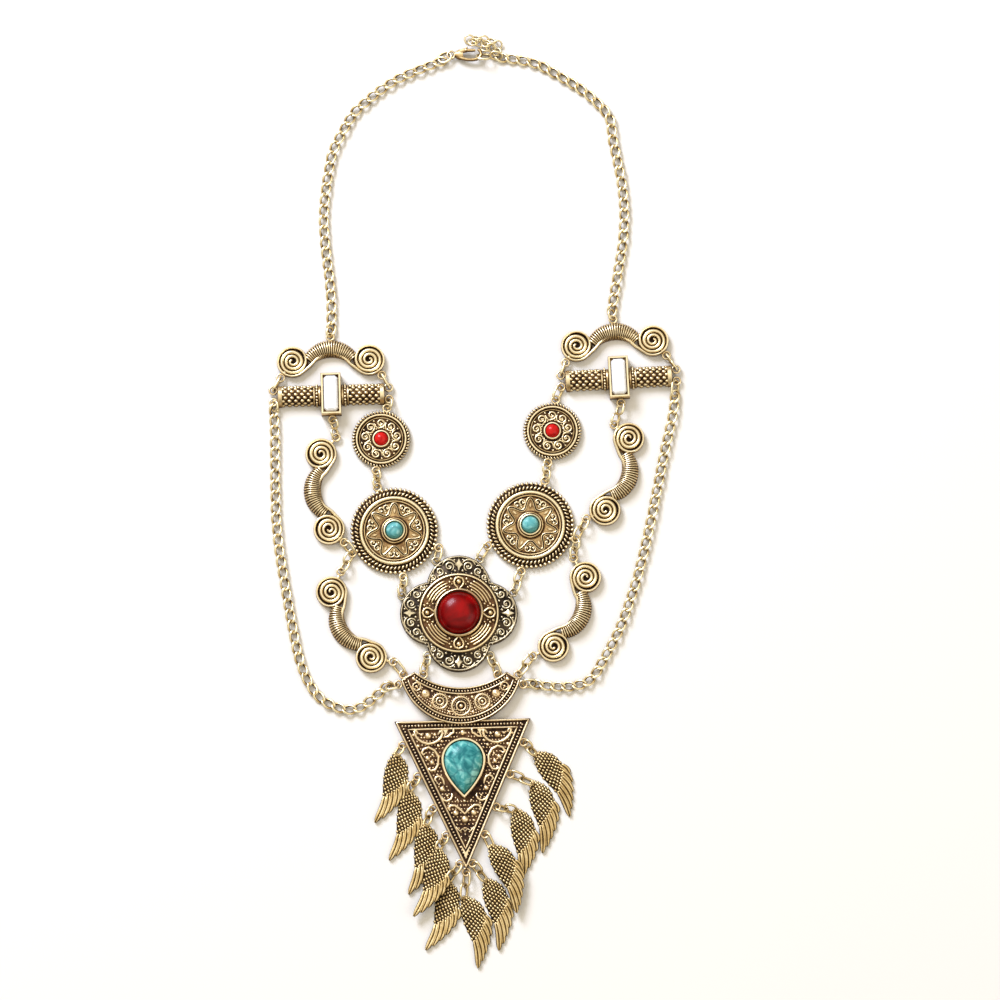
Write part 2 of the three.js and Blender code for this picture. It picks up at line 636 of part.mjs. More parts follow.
// Each row: the top of the wing, its turn, how far it is raised where it lies over its
// neighbours, and the lean of its jump ring. The first five go down the left edge, the next
// five down the right one, and the last hangs from the point.
const wings = [
  { x: -23.9, y: -54.4, turn: 0, lift: 0, ring: 1 },
  { x: -18.9, y: -68.6, turn: 1, lift: 0, ring: 1 },
  { x: -12.9, y: -81.2, turn: 4, lift: 0, ring: -1 },
  { x: -7.9, y: -90.8, turn: -3, lift: 2.4, ring: 1 },
  { x: -4.2, y: -102.9, turn: -1, lift: 0, ring: 1 },
  { x: 29.2, y: -54.2, turn: 45, lift: 0, ring: 1 },
  { x: 28.2, y: -65.1, turn: 24, lift: 0, ring: 1 },
  { x: 21.6, y: -75.6, turn: 19, lift: 0, ring: -1 },
  { x: 12.2, y: -89.8, turn: 38, lift: 2.3, ring: 1 },
  { x: 10.4, y: -102.2, turn: 27, lift: 0, ring: 1 },
  { x: 2.1, y: -109, turn: 28, lift: 0, ring: 1 },
];
wings.forEach(({ x, y, turn, lift, ring }, i) => {
  const body = setDown(wing().translate([0, 0, lift]), { x, y, turn });
  addMesh(`wing_${i + 1}`, body.add(jumpRing(at.edge[i], [x, y], ring)), brightGold);
});

// ---------------------------------------------------------------- rings between the castings

const ringRuns = [
  ['ring_arch_bar_outer_left', [at.archLeft[0], at.barLeft[0]], 0],
  ['ring_arch_bar_inner_left', [at.archLeft[1], at.barLeft[2]], 0],
  ['ring_bar_medallion_left', [at.barLeft[3], at.smallLeft[0]], 1],
  ['rings_bar_scroll_left', [at.barLeft[4], [-47.2, 70.9], at.upperLeft[1]], 1],
  ['rings_scroll_side_left', [at.upperLeft[0], at.turqLeft[1], at.lowerLeft[1]], 1],
  ['ring_medallions_left', [at.smallLeft[1], at.turqLeft[0]], 1],
  ['ring_turquoise_flower_outer_left', [at.turqLeft[2], at.flower[0]], 1],
  ['ring_turquoise_flower_inner_left', [at.turqLeft[3], at.flower[1]], 1],
  ['ring_scroll_crescent_left', [at.lowerLeft[0], at.crescent[0]], 1],
  ['ring_flower_crescent_left', [at.flower[4], at.crescent[2]], 1],
  ['ring_arch_bar_outer_right', [at.archRight[1], at.barRight[2]], 0],
  ['ring_arch_bar_inner_right', [at.archRight[0], at.barRight[0]], 0],
  ['ring_bar_medallion_right', [at.barRight[1], at.smallRight[0]], -1],
  ['rings_bar_scroll_right', [at.barRight[4], [60.5, 76.4], at.upperRight[0]], 1],
  ['rings_scroll_side_right', [at.upperRight[1], at.turqRight[1], at.lowerRight[0]], 1],
  ['ring_medallions_right', [at.smallRight[1], at.turqRight[0]], -1],
  ['ring_turquoise_flower_outer_right', [at.turqRight[2], at.flower[3]], -1],
  ['ring_turquoise_flower_inner_right', [at.turqRight[3], at.flower[2]], -1],
  ['ring_scroll_crescent_right', [at.lowerRight[1], at.crescent[4]], -1],
  ['ring_flower_crescent_right', [at.flower[5], at.crescent[3]], -1],
];
for (const [name, points, lean] of ringRuns) addMesh(name, ringRun(points, lean), brightGold);

// ---------------------------------------------------------------- chains

// A chain as the flat tube that its links fill, with the rings that end it.
function chain(route, steps, rings) {
  const path = new THREE.CatmullRomCurve3(route.map(([x, y]) => (
    new THREE.Vector3(x, y, CHAIN_HEIGHT / 2 + FLOOR_GAP))), false, 'centripetal');
  const section = shapeOf(arcPoints(0, 0, 1, 22.5, 337.5, 7)
    .map(([x, y]) => [x * CHAIN_HEIGHT / 2, y * CHAIN_WIDTH / 2]));
  const tube = new THREE.ExtrudeGeometry(section, { steps, extrudePath: path });
  return fuse([solidOf(tube), ...rings]);
}

const CLASP = { x: -1.9, y: 216.7 };
const claspEye = [CLASP.x - 1.3, CLASP.y];
const heldRing = [CLASP.x + 8.8, CLASP.y - 0.2];
const HELD_TILT = THREE.MathUtils.degToRad(6);
const heldRingEnd = [heldRing[0] + 5, heldRing[1] - 0.1];

const neckLeft = [
  [-7.4, 214.1], [-15, 211.1], [-22, 208.1], [-28.6, 204.1], [-34.7, 199.2], [-40.3, 193.8],
  [-45.2, 185.5], [-48.6, 178], [-50.2, 169.1], [-51.4, 160], [-51.7, 150.5], [-50.9, 140.1],
  [-49.4, 128.5], [-48.7, 118], [-48.7, 109.8],
];
const neckRight = [
  [16.3, 215.7], [21.5, 215], [29.8, 213.1], [39, 208.1], [46.4, 203.4], [52.8, 198],
  [57.6, 191.8], [58.8, 183.5], [60.6, 174.9], [62.3, 165.5], [63.1, 155.5], [62.6, 144],
  [60.8, 132.4], [59.1, 122], [58.4, 116.9],
];
const drapeLeft = [
  [-70.7, 78.0], [-70, 68], [-69.9, 58.7], [-69.7, 45.9], [-69.2, 34.2], [-67.9, 22.5],
  [-65.7, 9.5], [-63.2, -4.5], [-60.6, -16.7], [-57.3, -25.8], [-52.4, -32.6], [-46, -36.2],
  [-39.5, -37], [-33.6, -33.8], [-27.5, -28.4],
];
const drapeRight = [
  [82.2, 83.4], [81.7, 78], [80.3, 71.2], [77.6, 59], [75.1, 46.2], [72.4, 33.2], [69.4, 20],
  [66, 8], [61.2, -5.5], [55.4, -17], [49.8, -25.6], [43.5, -28], [36.5, -28.3], [29.3, -27.4],
];
addMesh('neck_chain_left', chain(neckLeft, 13, [
  jumpRing(claspEye, neckLeft[0]), jumpRing(at.archLeft[2], neckLeft.at(-1)),
]), brightGold);
addMesh('neck_chain_right', chain(neckRight, 13, [
  jumpRing(heldRing, heldRingEnd, -1, 2.25, HELD_TILT), jumpRing(heldRingEnd, neckRight[0], 1),
  jumpRing(at.archRight[2], neckRight.at(-1)),
]), brightGold);
addMesh('drape_chain_left', chain(drapeLeft, 13, [
  jumpRing(at.barLeft[1], drapeLeft[0]), jumpRing(at.crescent[1], drapeLeft.at(-1)),
]), brightGold);
addMesh('drape_chain_right', chain(drapeRight, 13, [
  jumpRing(at.barRight[3], drapeRight[0]), jumpRing(at.crescent[5], drapeRight.at(-1)),
]), brightGold);

// The extender: thin rings in a loose bunch behind the clasp, the first through a chain ring.
function extender() {
  const rings = [
    { x: 14.2, y: 217.9, z: 1.5, slope: -24 }, { x: 14.4, y: 221.1, z: 0.75, slope: 8 },
    { x: 11.0, y: 222.5, z: 0.9, slope: -8 }, { x: 7.4, y: 223.2, z: 0.7, slope: 6 },
    { x: 3.8, y: 223.3, z: 0.9, slope: -6 },
  ];
  return fuse(rings.map(({ x, y, z, slope }) => {
    const angle = THREE.MathUtils.degToRad(slope);
    const w = new THREE.Vector3(0, Math.cos(angle), Math.sin(angle));
    return ovalWire(new THREE.Vector3(x, y, z), X, w, 1.9, 1.9, 0.32, 10, 4);
  }));
}
addMesh('extender_chain', extender(), brightGold);

// ---------------------------------------------------------------- lobster clasp

const CLASP_BOTTOM = 1.35;
const CLASP_TOP = 3.15;
const LEVER_HINGE = [4.3, 1.65];

function claspBody() {
  const hook = shapeOf([
    [0, -1.3], [1.6, -2.1], [4, -2.65], [7, -2.75], [9.4, -2.2], [10.7, -1.1], [11, 0.2], [10.5, 1.5],
    [9.5, 2.4], [8.6, 2.5], [8.6, 1.5], [9.4, 1], [9.8, 0.1], [9.3, -1], [8.2, -1.5], [6, -1.7], [4.4, -1.5],
    [3.4, -0.7], [3.3, 2.3], [1.8, 2.1], [0, 1.3],
  ]);
  const base = shapeOf([[0, -1.3], [1.6, -2.1], [3.2, -2.2], [3.2, 2.2], [1.8, 2.1], [0, 1.3]]);
  return setDown(fuse([plate(hook, CLASP_BOTTOM, CLASP_TOP), plate(base, 0.3, CLASP_TOP + 0.2)]), CLASP)
    .add(eye(...claspEye));
}

function claspLever() {
  const [x, y] = LEVER_HINGE;
  const lever = shapeOf([
    [x - 0.65, y - 0.3], [x - 0.2, y - 0.65], [x + 3.9, y - 0.45], [x + 3.9, y + 0.45], [x + 1.2, y + 0.65],
    [x + 0.7, y + 1.3], [x, y + 1.2], [x - 0.3, y + 0.6], [x - 0.65, y + 0.3],
  ]);
  return setDown(plate(lever, CLASP_BOTTOM + 0.15, CLASP_TOP - 0.15), CLASP);
}
addMesh('clasp_body', claspBody(), gold);
addMesh('clasp_lever', claspLever(), gold);

// ---------------------------------------------------------------- the frame

// The middle of the box's floor is the origin.
const box = new THREE.Box3().setFromObject(necklace);
necklace.position.set(-(box.min.x + box.max.x) / 2, -(box.min.y + box.max.y) / 2, -box.min.z);

export default necklace;
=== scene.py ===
# A tassel necklace in antique gold, laid flat and clasped: cast scrolls, bars, medallions and a
# fringed pendant on jump rings, with curb chains. Sizes are in millimetres until a piece is
# placed, and everything lies round the middle of the red cabochon's flower.
import math

import bmesh
import bpy
from mathutils import Matrix, Vector


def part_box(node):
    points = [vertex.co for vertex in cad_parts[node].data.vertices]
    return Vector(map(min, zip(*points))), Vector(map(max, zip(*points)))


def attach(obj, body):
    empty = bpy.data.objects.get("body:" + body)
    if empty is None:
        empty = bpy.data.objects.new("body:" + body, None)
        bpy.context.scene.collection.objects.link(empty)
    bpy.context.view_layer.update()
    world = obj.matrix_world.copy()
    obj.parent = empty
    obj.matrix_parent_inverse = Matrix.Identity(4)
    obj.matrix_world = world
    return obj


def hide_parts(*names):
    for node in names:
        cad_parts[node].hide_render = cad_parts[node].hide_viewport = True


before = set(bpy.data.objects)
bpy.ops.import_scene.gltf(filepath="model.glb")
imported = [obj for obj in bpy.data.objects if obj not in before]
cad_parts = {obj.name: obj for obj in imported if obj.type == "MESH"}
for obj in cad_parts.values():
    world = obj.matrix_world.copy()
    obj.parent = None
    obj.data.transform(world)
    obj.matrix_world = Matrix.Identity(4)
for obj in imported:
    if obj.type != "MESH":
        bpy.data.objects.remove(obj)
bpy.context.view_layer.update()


# ------------------------------------------------------------------------- scroll castings
# Six zinc castings: two flat spirals of round wire joined by a ribbed coil. They are gold
# plated, dipped in a dark finish and rubbed bright again on whatever stands up.

MM = 0.001
FLOWER_DROP = 0.4
low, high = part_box("red_cabochon")
MIDDLE = Vector(((low[0] + high[0]) / 2, (low[1] + high[1]) / 2 + FLOWER_DROP * MM, 0))
FLOOR_GAP = 0.05
SHARP_EDGE = math.radians(52)

# A disc stands at either side, and the coil is arched between them. A rib is given by its
# places along the coil, its share of the coil's size there and how far it is rubbed.
SCROLL_REACH = 14.6
SCROLL_DISC = 6.1
SCROLL_CROWN = 4.9
CROWN_EYE = (0, 9.35)
COIL_CHORD = 8.7
COIL_REACH, COIL_REACH_SWELL = 2.2, 1.15
COIL_HEIGHT, COIL_HEIGHT_SWELL = 2.9, 1.2
COIL_RIBS = 24
COIL_RIB = ((-0.5, 0.87, 0.0), (-0.32, 0.95, 0.45), (-0.14, 1.0, 1.0), (0.14, 1.0, 1.0),
            (0.32, 0.95, 0.45))

# The spiral's wire from its middle outwards: turns still to go, radius and width. Then the
# wire's way out to the coil: x and y from the spiral's middle, and width.
SPIRAL_START = 228
WINDING = ((3.6, 0.5, 0.95), (3.4, 0.95, 1.05), (3.1, 1.2, 1.15), (2.85, 1.9, 1.25),
           (2.5, 2.4, 1.3), (2.1, 2.65, 1.3), (1.85, 3.45, 1.5), (1.5, 3.98, 1.4),
           (1.25, 4.2, 1.3), (1.1, 4.2, 1.2), (0.97, 4.55, 1.2), (0.86, 5.1, 1.2),
           (0.75, 5.5, 0.95), (0.3, 5.55, 0.95), (0.0, 5.6, 1.0))
SPIRAL_EXIT = ((-3.75, -4.16, 1.0), (-5.2, -2.95, 1.15), (-6.5, -1.9, 1.3), (-7.6, -0.8, 1.3))
EYE_HEIGHT = 1.5
EYE_RADIUS = 1.4
EYE_WIRE = 0.4

# x, y and turn, the bearing and distance of an eye from the left and from the right spiral,
# and whether a third eye crowns the coil.
SCROLLS = {
    "arch_scroll_left": (-48.85, 97.1, 1.6, (-128, 7.6), (-52, 7.6), True),
    "arch_scroll_right": (59.35, 103.9, 4.1, (-128, 7.6), (-52, 7.6), True),
    "scroll_upper_left": (-50.85, 46.6, 96.3, (-138, 7.6), (-48, 8.6), False),
    "scroll_upper_right": (60.0, 53.3, -108.2, (-115, 7.6), (-47, 7.8), False),
    "scroll_lower_left": (-40.7, -4.6, 121.2, (-133, 8.4), (-55, 8.6), False),
    "scroll_lower_right": (41.9, 0.3, -114.6, (-124, 8.6), (-41, 8.6), False),
}


class Value:
    """A node's output that arithmetic works on: each operator adds its Math node."""

    def __init__(self, nodes, socket):
        self.nodes, self.socket = nodes, socket

    def maths(self, operation, *values, clamp=False):
        return self.nodes.add("ShaderNodeMath", {"operation": operation, "use_clamp": clamp},
                              dict(enumerate(values)))

    def __add__(self, other):
        return self.maths("ADD", self, other)

    def __sub__(self, other):
        return self.maths("SUBTRACT", self, other)

    def __rsub__(self, other):
        return self.maths("SUBTRACT", other, self)

    def __mul__(self, other):
        return self.maths("MULTIPLY", self, other)

    def clamped(self):
        return self.maths("ADD", self, 0.0, clamp=True)

    __radd__, __rmul__ = __add__, __mul__


class Nodes:
    """A node tree that grows one node at a time."""

    def __init__(self, tree):
        self.tree = tree

    def add(self, kind, settings=None, sockets=None, output=0):
        node = self.tree.nodes.new(kind)
        for key, value in (settings or {}).items():
            if key == "stops":
                ramp = node.color_ramp
                while len(ramp.elements) < len(value):
                    ramp.elements.new(1.0)
                for element, (place, colour) in zip(ramp.elements, value):
                    element.position, element.color = place, (*colour, 1.0)
            else:
                setattr(node, key, value)
        for key, value in (sockets or {}).items():
            if isinstance(value, Value):
                self.tree.links.new(value.socket, node.inputs[key])
            else:
                node.inputs[key].default_value = value
        return Value(self, node.outputs[output] if len(node.outputs) else None)


def finish(name, **constant):
    """A new material, its nodes, and a way to end it with a Principled shader."""
    material = bpy.data.materials.new(name)
    material.use_nodes = True
    material.node_tree.nodes.clear()
    nodes = Nodes(material.node_tree)

    def end(**varying):
        sockets = {key.replace("_", " ").title(): value for key, value in
                   {**constant, **varying}.items()}
        if "Ior" in sockets:
            sockets["IOR"] = sockets.pop("Ior")
        shader = nodes.add("ShaderNodeBsdfPrincipled", None, sockets)
        nodes.add("ShaderNodeOutputMaterial", None, {"Surface": shader})
        return material

    return nodes, end


def antique_gold(name, dark, brown, gold, light):
    """Plated metal: pale where it is rubbed, gold beside that, brown and matt in recesses and where
    shade is painted.
    """
    nodes, end = finish(name)
    place = nodes.add("ShaderNodeTexCoord", None, None, 3)
    rubbed = nodes.add("ShaderNodeAttribute", {"attribute_name": "rubbed"}, None, 2)
    cloud = nodes.add("ShaderNodeTexNoise", None, {"Vector": place, "Scale": 260.0, "Detail": 3.0})
    grain = nodes.add("ShaderNodeTexNoise", None, {"Vector": place, "Scale": 1500.0, "Detail": 2.0})
    wear_and_painted_shade = (rubbed * 0.96 + (cloud - 0.5) * 0.6 + (grain - 0.5) * 0.3).clamped()
    colour = nodes.add("ShaderNodeValToRGB", {"stops": (
        (0.04, dark), (0.34, brown), (0.6, gold), (0.92, light))}, {"Fac": wear_and_painted_shade})
    bump = nodes.add("ShaderNodeBump", None, {
        "Strength": 0.35, "Distance": 0.00008, "Height": grain + cloud * 0.6})
    return end(base_color=colour, metallic=0.82 + wear_and_painted_shade * 0.12, roughness=0.58 - wear_and_painted_shade * 0.24,
               normal=bump)


ANTIQUE = antique_gold("antique_gold", (0.018, 0.008, 0.004), (0.19, 0.095, 0.035),
                       (0.64, 0.45, 0.2), (0.96, 0.84, 0.56))


def repeat_tree(name, spacing, sizes, turn):
    """The start of a tree that sets a copy at each point of a wire, turned to follow it and
    then by one more turn. Gives the nodes, the inputs, their identifiers and the copies."""
    tree = bpy.data.node_groups.new(name, "GeometryNodeTree")
    kinds = {"Geometry": "Geometry", **sizes, "Finish": "Material"}
    named = {label: tree.interface.new_socket(label, in_out="INPUT",
                                              socket_type="NodeSocket" + kind).identifier
             for label, kind in kinds.items()}
    tree.interface.new_socket("Geometry", in_out="OUTPUT", socket_type="NodeSocketGeometry")
    nodes = Nodes(tree)
    given = tree.nodes.new("NodeGroupInput")
    inputs = {label: Value(nodes, given.outputs[label]) for label in named}
    line = nodes.add("GeometryNodeMeshToCurve", None, {"Mesh": inputs["Geometry"]})
    points = nodes.add("GeometryNodeResampleCurve", {"mode": "LENGTH"},
                       {"Curve": line, "Length": inputs[spacing]})
    facing = nodes.add("FunctionNodeAlignRotationToVector", {"axis": "X", "pivot_axis": "Z"},
                       {"Vector": nodes.add("GeometryNodeInputTangent")})
    extra = nodes.add("FunctionNodeEulerToRotation", None, {"Euler": turn(nodes, inputs)})
    turned = nodes.add("FunctionNodeRotateRotation", {"rotation_space": "LOCAL"},
                       {"Rotation": facing, "Rotate By": extra})
    return nodes, inputs, named, {"Points": points, "Rotation": turned}


def end_tree(nodes, copies, material):
    """The end of such a tree: the copies as plain faces in one material."""
    placed = nodes.add("GeometryNodeInstanceOnPoints", None, copies)
    whole = nodes.add("GeometryNodeRealizeInstances", None, {"Geometry": placed})
    whole = nodes.add("GeometryNodeSetMaterial", None,
                      {"Geometry": whole, "Material": material})
    nodes.add("NodeGroupOutput", None, {"Geometry": whole})


def grain_tree():
    """Grains on the points of a resampled wire, each a squashed ball turned along it."""
    nodes, inputs, named, copies = repeat_tree(
        "grains_on_a_line", "Spacing", {"Spacing": "Float", "Slant": "Float", "Size": "Vector"},
        lambda nodes, inputs: nodes.add("ShaderNodeCombineXYZ", None, {"Z": inputs["Slant"]}))
    ball = nodes.add("GeometryNodeMeshUVSphere", None, {"Segments": 8, "Rings": 5, "Radius": 1.0})
    height = nodes.add("ShaderNodeSeparateXYZ", None,
                       {"Vector": nodes.add("GeometryNodeInputPosition")}, 2)
    ball = nodes.add("GeometryNodeStoreNamedAttribute", {"data_type": "FLOAT"}, {
        "Geometry": ball, "Name": "rubbed", "Value": (height * 0.95 + 0.1).clamped()})
    end_tree(nodes, {**copies, "Instance": ball, "Scale": inputs["Size"]}, inputs["Finish"])
    return nodes.tree, named


GRAINS, GRAIN_INPUTS = grain_tree()


def grown_on(tree, identifiers, paths, values):
    """The plain mesh that a node tree grows on paths of (points, closed)."""
    corners, edges = [], []
    for points, closed in paths:
        start, count = len(corners), len(points)
        corners += [tuple(p) if len(p) == 3 else (*p, 0.0) for p in points]
        edges += [(start + i, start + (i + 1) % count)
                  for i in range(count if closed else count - 1)]
    mesh = bpy.data.meshes.new("paths")
    mesh.from_pydata(corners, edges, [])
    host = bpy.data.objects.new("paths", mesh)
    bpy.context.scene.collection.objects.link(host)
    modifier = host.modifiers.new("grown", "NODES")
    modifier.node_group = tree
    for label, value in values.items():
        modifier[identifiers[label]] = value
    graph = bpy.context.evaluated_depsgraph_get()
    grown = bpy.data.meshes.new_from_object(host.evaluated_get(graph), depsgraph=graph)
    bpy.data.objects.remove(host)
    return grown


def arc(x, y, radius, start, stop, steps=12):
    turns = [math.radians(start + (stop - start) * i / steps) for i in range(steps + 1)]
    return [(x + radius * math.cos(a), y + radius * math.sin(a)) for a in turns]


def circle(radius, x=0.0, y=0.0, steps=72):
    return arc(x, y, radius, 0, 360, steps)[:-1]


def polar(distance, degrees):
    angle = math.radians(degrees)
    return (distance * math.cos(angle), distance * math.sin(angle))


def between(a, b, share):
    return tuple(a[k] + (b[k] - a[k]) * share for k in (0, 1))


def lifted(points, height):
    return [(x, y, height) for x, y in points]


def moved(points, x, y, turn=0.0):
    c, s = math.cos(math.radians(turn)), math.sin(math.radians(turn))
    return [(x + px * c - py * s, y + px * s + py * c) for px, py in points]


class Casting:
    """The faces of one piece in millimetres round its own middle. Every point also keeps how far it
    is rubbed bright, from 0 in the recesses to 1 on top; on chain links the same value also holds
    painted shade, darker on the inner and lower sides of the wire."""

    # A raised wire's section: place across its width, height and how far it is rubbed.
    WIRE = ((-0.5, 0.0, 0.0), (-0.48, 0.45, 0.25), (-0.37, 0.8, 0.85), (-0.13, 0.97, 1.0),
            (0.13, 0.97, 1.0), (0.37, 0.8, 0.85), (0.48, 0.45, 0.25), (0.5, 0.0, 0.0))

    def __init__(self):
        self.points, self.faces, self.rubbed = [], [], []

    def add(self, points, faces, rubbed):
        start = len(self.points)
        self.points += [tuple(p) for p in points]
        self.faces += [tuple(start + i for i in face) for face in faces]
        self.rubbed += list(rubbed)

    def skin(self, rings, rubbed, closed=False):
        count, total = len(rings[0]), len(rings)
        faces = []
        for r in range(total if closed else total - 1):
            a, b = r * count, (r + 1) % total * count
            faces += [(a + i, a + (i + 1) % count, b + (i + 1) % count, b + i)
                      for i in range(count)]
        if not closed:
            faces += [tuple(range(count))[::-1], tuple(range((total - 1) * count, total * count))]
        self.add([p for ring in rings for p in ring], faces, rubbed)

    def turned(self, profile, sides=96, x=0.0, y=0.0):
        """A turned form from (radius, height, rubbed) rows that start and end on the axis."""
        points, faces, rubbed, rows = [], [], [], []
        for radius, height, worn in profile:
            ring = [(x, y)] if radius == 0 else circle(radius, x, y, sides)
            rows.append(range(len(points), len(points) + len(ring)))
            points += [(px, py, height) for px, py in ring]
            rubbed += [worn] * len(ring)
        for a, b in zip(rows, rows[1:]):
            for i in range(sides):
                j = (i + 1) % sides
                faces.append(tuple(dict.fromkeys((a[i % len(a)], a[j % len(a)],
                                                  b[j % len(b)], b[i % len(b)]))))
        self.add(points, [face for face in faces if len(face) > 2], rubbed)

    def ball(self, x, y, radius, bottom, height, sides=14, worn=1.0):
        self.turned([(0, bottom, 0), (radius, bottom, 0),
                     (radius * 0.92, bottom + height * 0.4, 0.4),
                     (radius * 0.6, bottom + height * 0.82, 0.9 * worn),
                     (0, bottom + height, worn)], sides, x, y)

    def line(self, points, width, bottom, top, closed=False, worn=1.0):
        """A raised wire along a path, with one width or a width for each point."""
        rings, rubbed, count = [], [], len(points)
        widths = width if isinstance(width, list) else [width] * count
        for i, (x, y) in enumerate(points):
            px, py = points[(i - 1) % count] if closed or i else points[0]
            nx, ny = points[(i + 1) % count] if closed or i < count - 1 else points[-1]
            length = math.hypot(nx - px, ny - py) or 1
            sx, sy = -(ny - py) / length, (nx - px) / length
            thin = 1.0 if closed or 0 < i < count - 1 else 0.55
            rings.append([(x + sx * widths[i] * a * thin, y + sy * widths[i] * a * thin,
                           bottom + (top - bottom) * up * thin) for a, up, _ in self.WIRE])
            rubbed += [bright * worn for _, _, bright in self.WIRE]
        self.skin(rings, rubbed, closed)

    def plate(self, outline, bottom, top, worn=0.1, edge=0.5, chamfer=0.2):
        """A flat plate with a chamfered upper edge."""
        count = len(outline)
        inner = []
        for i, (x, y) in enumerate(outline):
            (px, py), (nx, ny) = outline[i - 1], outline[(i + 1) % count]
            length = math.hypot(nx - px, ny - py) or 1
            inner.append((x - (ny - py) / length * chamfer, y + (nx - px) / length * chamfer))
        rings = [lifted(outline, bottom), lifted(outline, top - chamfer), lifted(inner, top)]
        self.skin(rings, [0.15] * count + [edge] * count + [worn] * count)

    def take(self, mesh, shine=1.0):
        """The faces of a grown mesh, kept clear of the floor. The mesh itself is removed."""
        self.add([(v.co.x, v.co.y, max(v.co.z, FLOOR_GAP)) for v in mesh.vertices],
                 [tuple(p.vertices) for p in mesh.polygons],
                 [min(w.value * shine, 1.0) for w in mesh.attributes["rubbed"].data])
        bpy.data.meshes.remove(mesh)

    def grains(self, paths, spacing, size, slant=0.0, shine=1.0):
        self.take(grown_on(GRAINS, GRAIN_INPUTS, paths, {
            "Spacing": spacing, "Slant": math.radians(slant), "Size": size,
            "Finish": ANTIQUE}), shine)

    def eye(self, x, y, toward=None):
        """A cast eye, with a short stem towards a point."""
        rings, rubbed = [], []
        for px, py in circle(EYE_RADIUS - 0.005, 0, 0, 28):
            ring = []
            for k in range(8):
                a = math.tau * k / 8
                grow = 1 + EYE_WIRE * math.cos(a) / EYE_RADIUS
                ring.append((x + px * grow, y + py * grow, EYE_HEIGHT + EYE_WIRE * math.sin(a)))
                rubbed.append(0.42 + 0.45 * math.sin(a) + 0.2 * math.cos(a))
            rings.append(ring)
        self.skin(rings, rubbed, closed=True)
        if toward:
            away = math.hypot(toward[0] - x, toward[1] - y)
            ux, uy = (toward[0] - x) / away, (toward[1] - y) / away
            self.line([(x + ux * d, y + uy * d) for d in (1.35, 2.2, 3.4)], 1.5, 0.9, 1.95)

    def place(self, name, material, slot, nodes, x=0.0, y=0.0, turn=0.0, body="necklace"):
        """The casting as an object in the frame, set down at x, y and turned by degrees."""
        mesh = bpy.data.meshes.new(name)
        mesh.from_pydata(self.points, [], self.faces)
        worn = mesh.attributes.new("rubbed", "FLOAT", "POINT")
        worn.data.foreach_set("value", self.rubbed)
        shaping = bmesh.new()
        shaping.from_mesh(mesh)
        bmesh.ops.recalc_face_normals(shaping, faces=shaping.faces)
        shaping.to_mesh(mesh)
        shaping.free()
        mesh.transform(Matrix.Translation(MIDDLE) @ Matrix.Scale(MM, 4)
                       @ Matrix.Translation((x, y, 0))
                       @ Matrix.Rotation(math.radians(turn), 4, "Z"))
        mesh.shade_smooth()
        mesh.set_sharp_from_angle(angle=SHARP_EDGE)
        mesh.materials.append(material)
        piece = bpy.data.objects.new(name, mesh)
        bpy.context.scene.collection.objects.link(piece)
        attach(piece, body)
        if nodes:
            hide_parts(*nodes)


def scroll_casting(eyes):
    casting = Casting()
    for side in (-1, 1):
        casting.turned([(0, 0, 0), (SCROLL_DISC - 0.25, 0, 0.3), (SCROLL_DISC - 0.1, 1.0, 0.5),
                        (SCROLL_DISC - 0.5, 1.3, 0), (0, 1.3, 0)], 48, side * SCROLL_REACH)
    sag = SCROLL_CROWN - 0.6
    radius = (COIL_CHORD * COIL_CHORD + sag * sag) / (2 * sag)
    half = math.degrees(math.asin(COIL_CHORD / radius))
    wire = []
    for (a, ra, wa), (b, rb, wb) in zip(WINDING, WINDING[1:]):
        steps = max(2, round(30 * (a - b)))
        for t in (i / steps for i in range(steps)):
            x, y = polar(ra + (rb - ra) * t, SPIRAL_START + 360 * (a + (b - a) * t))
            wire.append((SCROLL_REACH + x, y, wa + (wb - wa) * t))
    wire += [(SCROLL_REACH + x, y, width) for x, y, width in SPIRAL_EXIT]
    under = arc(0, SCROLL_CROWN - radius, radius - COIL_REACH, 90 + half * 0.86, 90 - half * 0.86,
                24)
    wire = ([(-x, y, width) for x, y, width in wire]
            + [(x, y, 0.8 + 0.5 * abs(x) / COIL_CHORD) for x, y in under] + wire[::-1])
    casting.line([(x, y) for x, y, _ in wire], [width for _, _, width in wire], 1.0, 2.75)
    rings, rubbed = [], []
    for i in range(COIL_RIBS):
        for offset, grow, worn in COIL_RIB:
            share = (i + 0.5 + offset) / COIL_RIBS
            swell = 1 - abs(2 * share - 1) ** 2.2
            ring = []
            for k in range(15):
                a = math.pi * k / 14
                away = (radius - 0.1
                        + (COIL_REACH + COIL_REACH_SWELL * swell) * grow * math.cos(a))
                x, y = polar(away, 90 + half * (1 - 2 * share))
                ring.append((x, y + SCROLL_CROWN - radius, (
                    COIL_HEIGHT + COIL_HEIGHT_SWELL * swell) * grow * math.sin(a) ** 0.7))
                rubbed.append(worn * (0.3 + 0.7 * math.sin(a)))
            rings.append(ring)
    casting.skin(rings, rubbed)
    for point, root in zip(eyes, ((-SCROLL_REACH, 0), (SCROLL_REACH, 0), (0, 0))):
        casting.eye(*point, toward=root)
    return casting


eyes_at = {}
for node, (x, y, turn, left, right, crowned) in SCROLLS.items():
    (left_x, left_y), (right_x, right_y) = polar(*left[::-1]), polar(*right[::-1])
    eyes = [(left_x - SCROLL_REACH, left_y), (right_x + SCROLL_REACH, right_y)]
    if crowned:
        eyes.append(CROWN_EYE)
    scroll_casting(eyes).place(node + "_cast", ANTIQUE, "antique_gold", [node], x, y, turn)
    eyes_at[node] = moved(eyes, x, y, turn)


# ----------------------------------------------------------------------- bars with a crystal
# Half round castings covered with fine granules, with smooth collars at the ends and dotted
# ones beside an open frame. A clear baguette with a foiled back is glued in the frame.

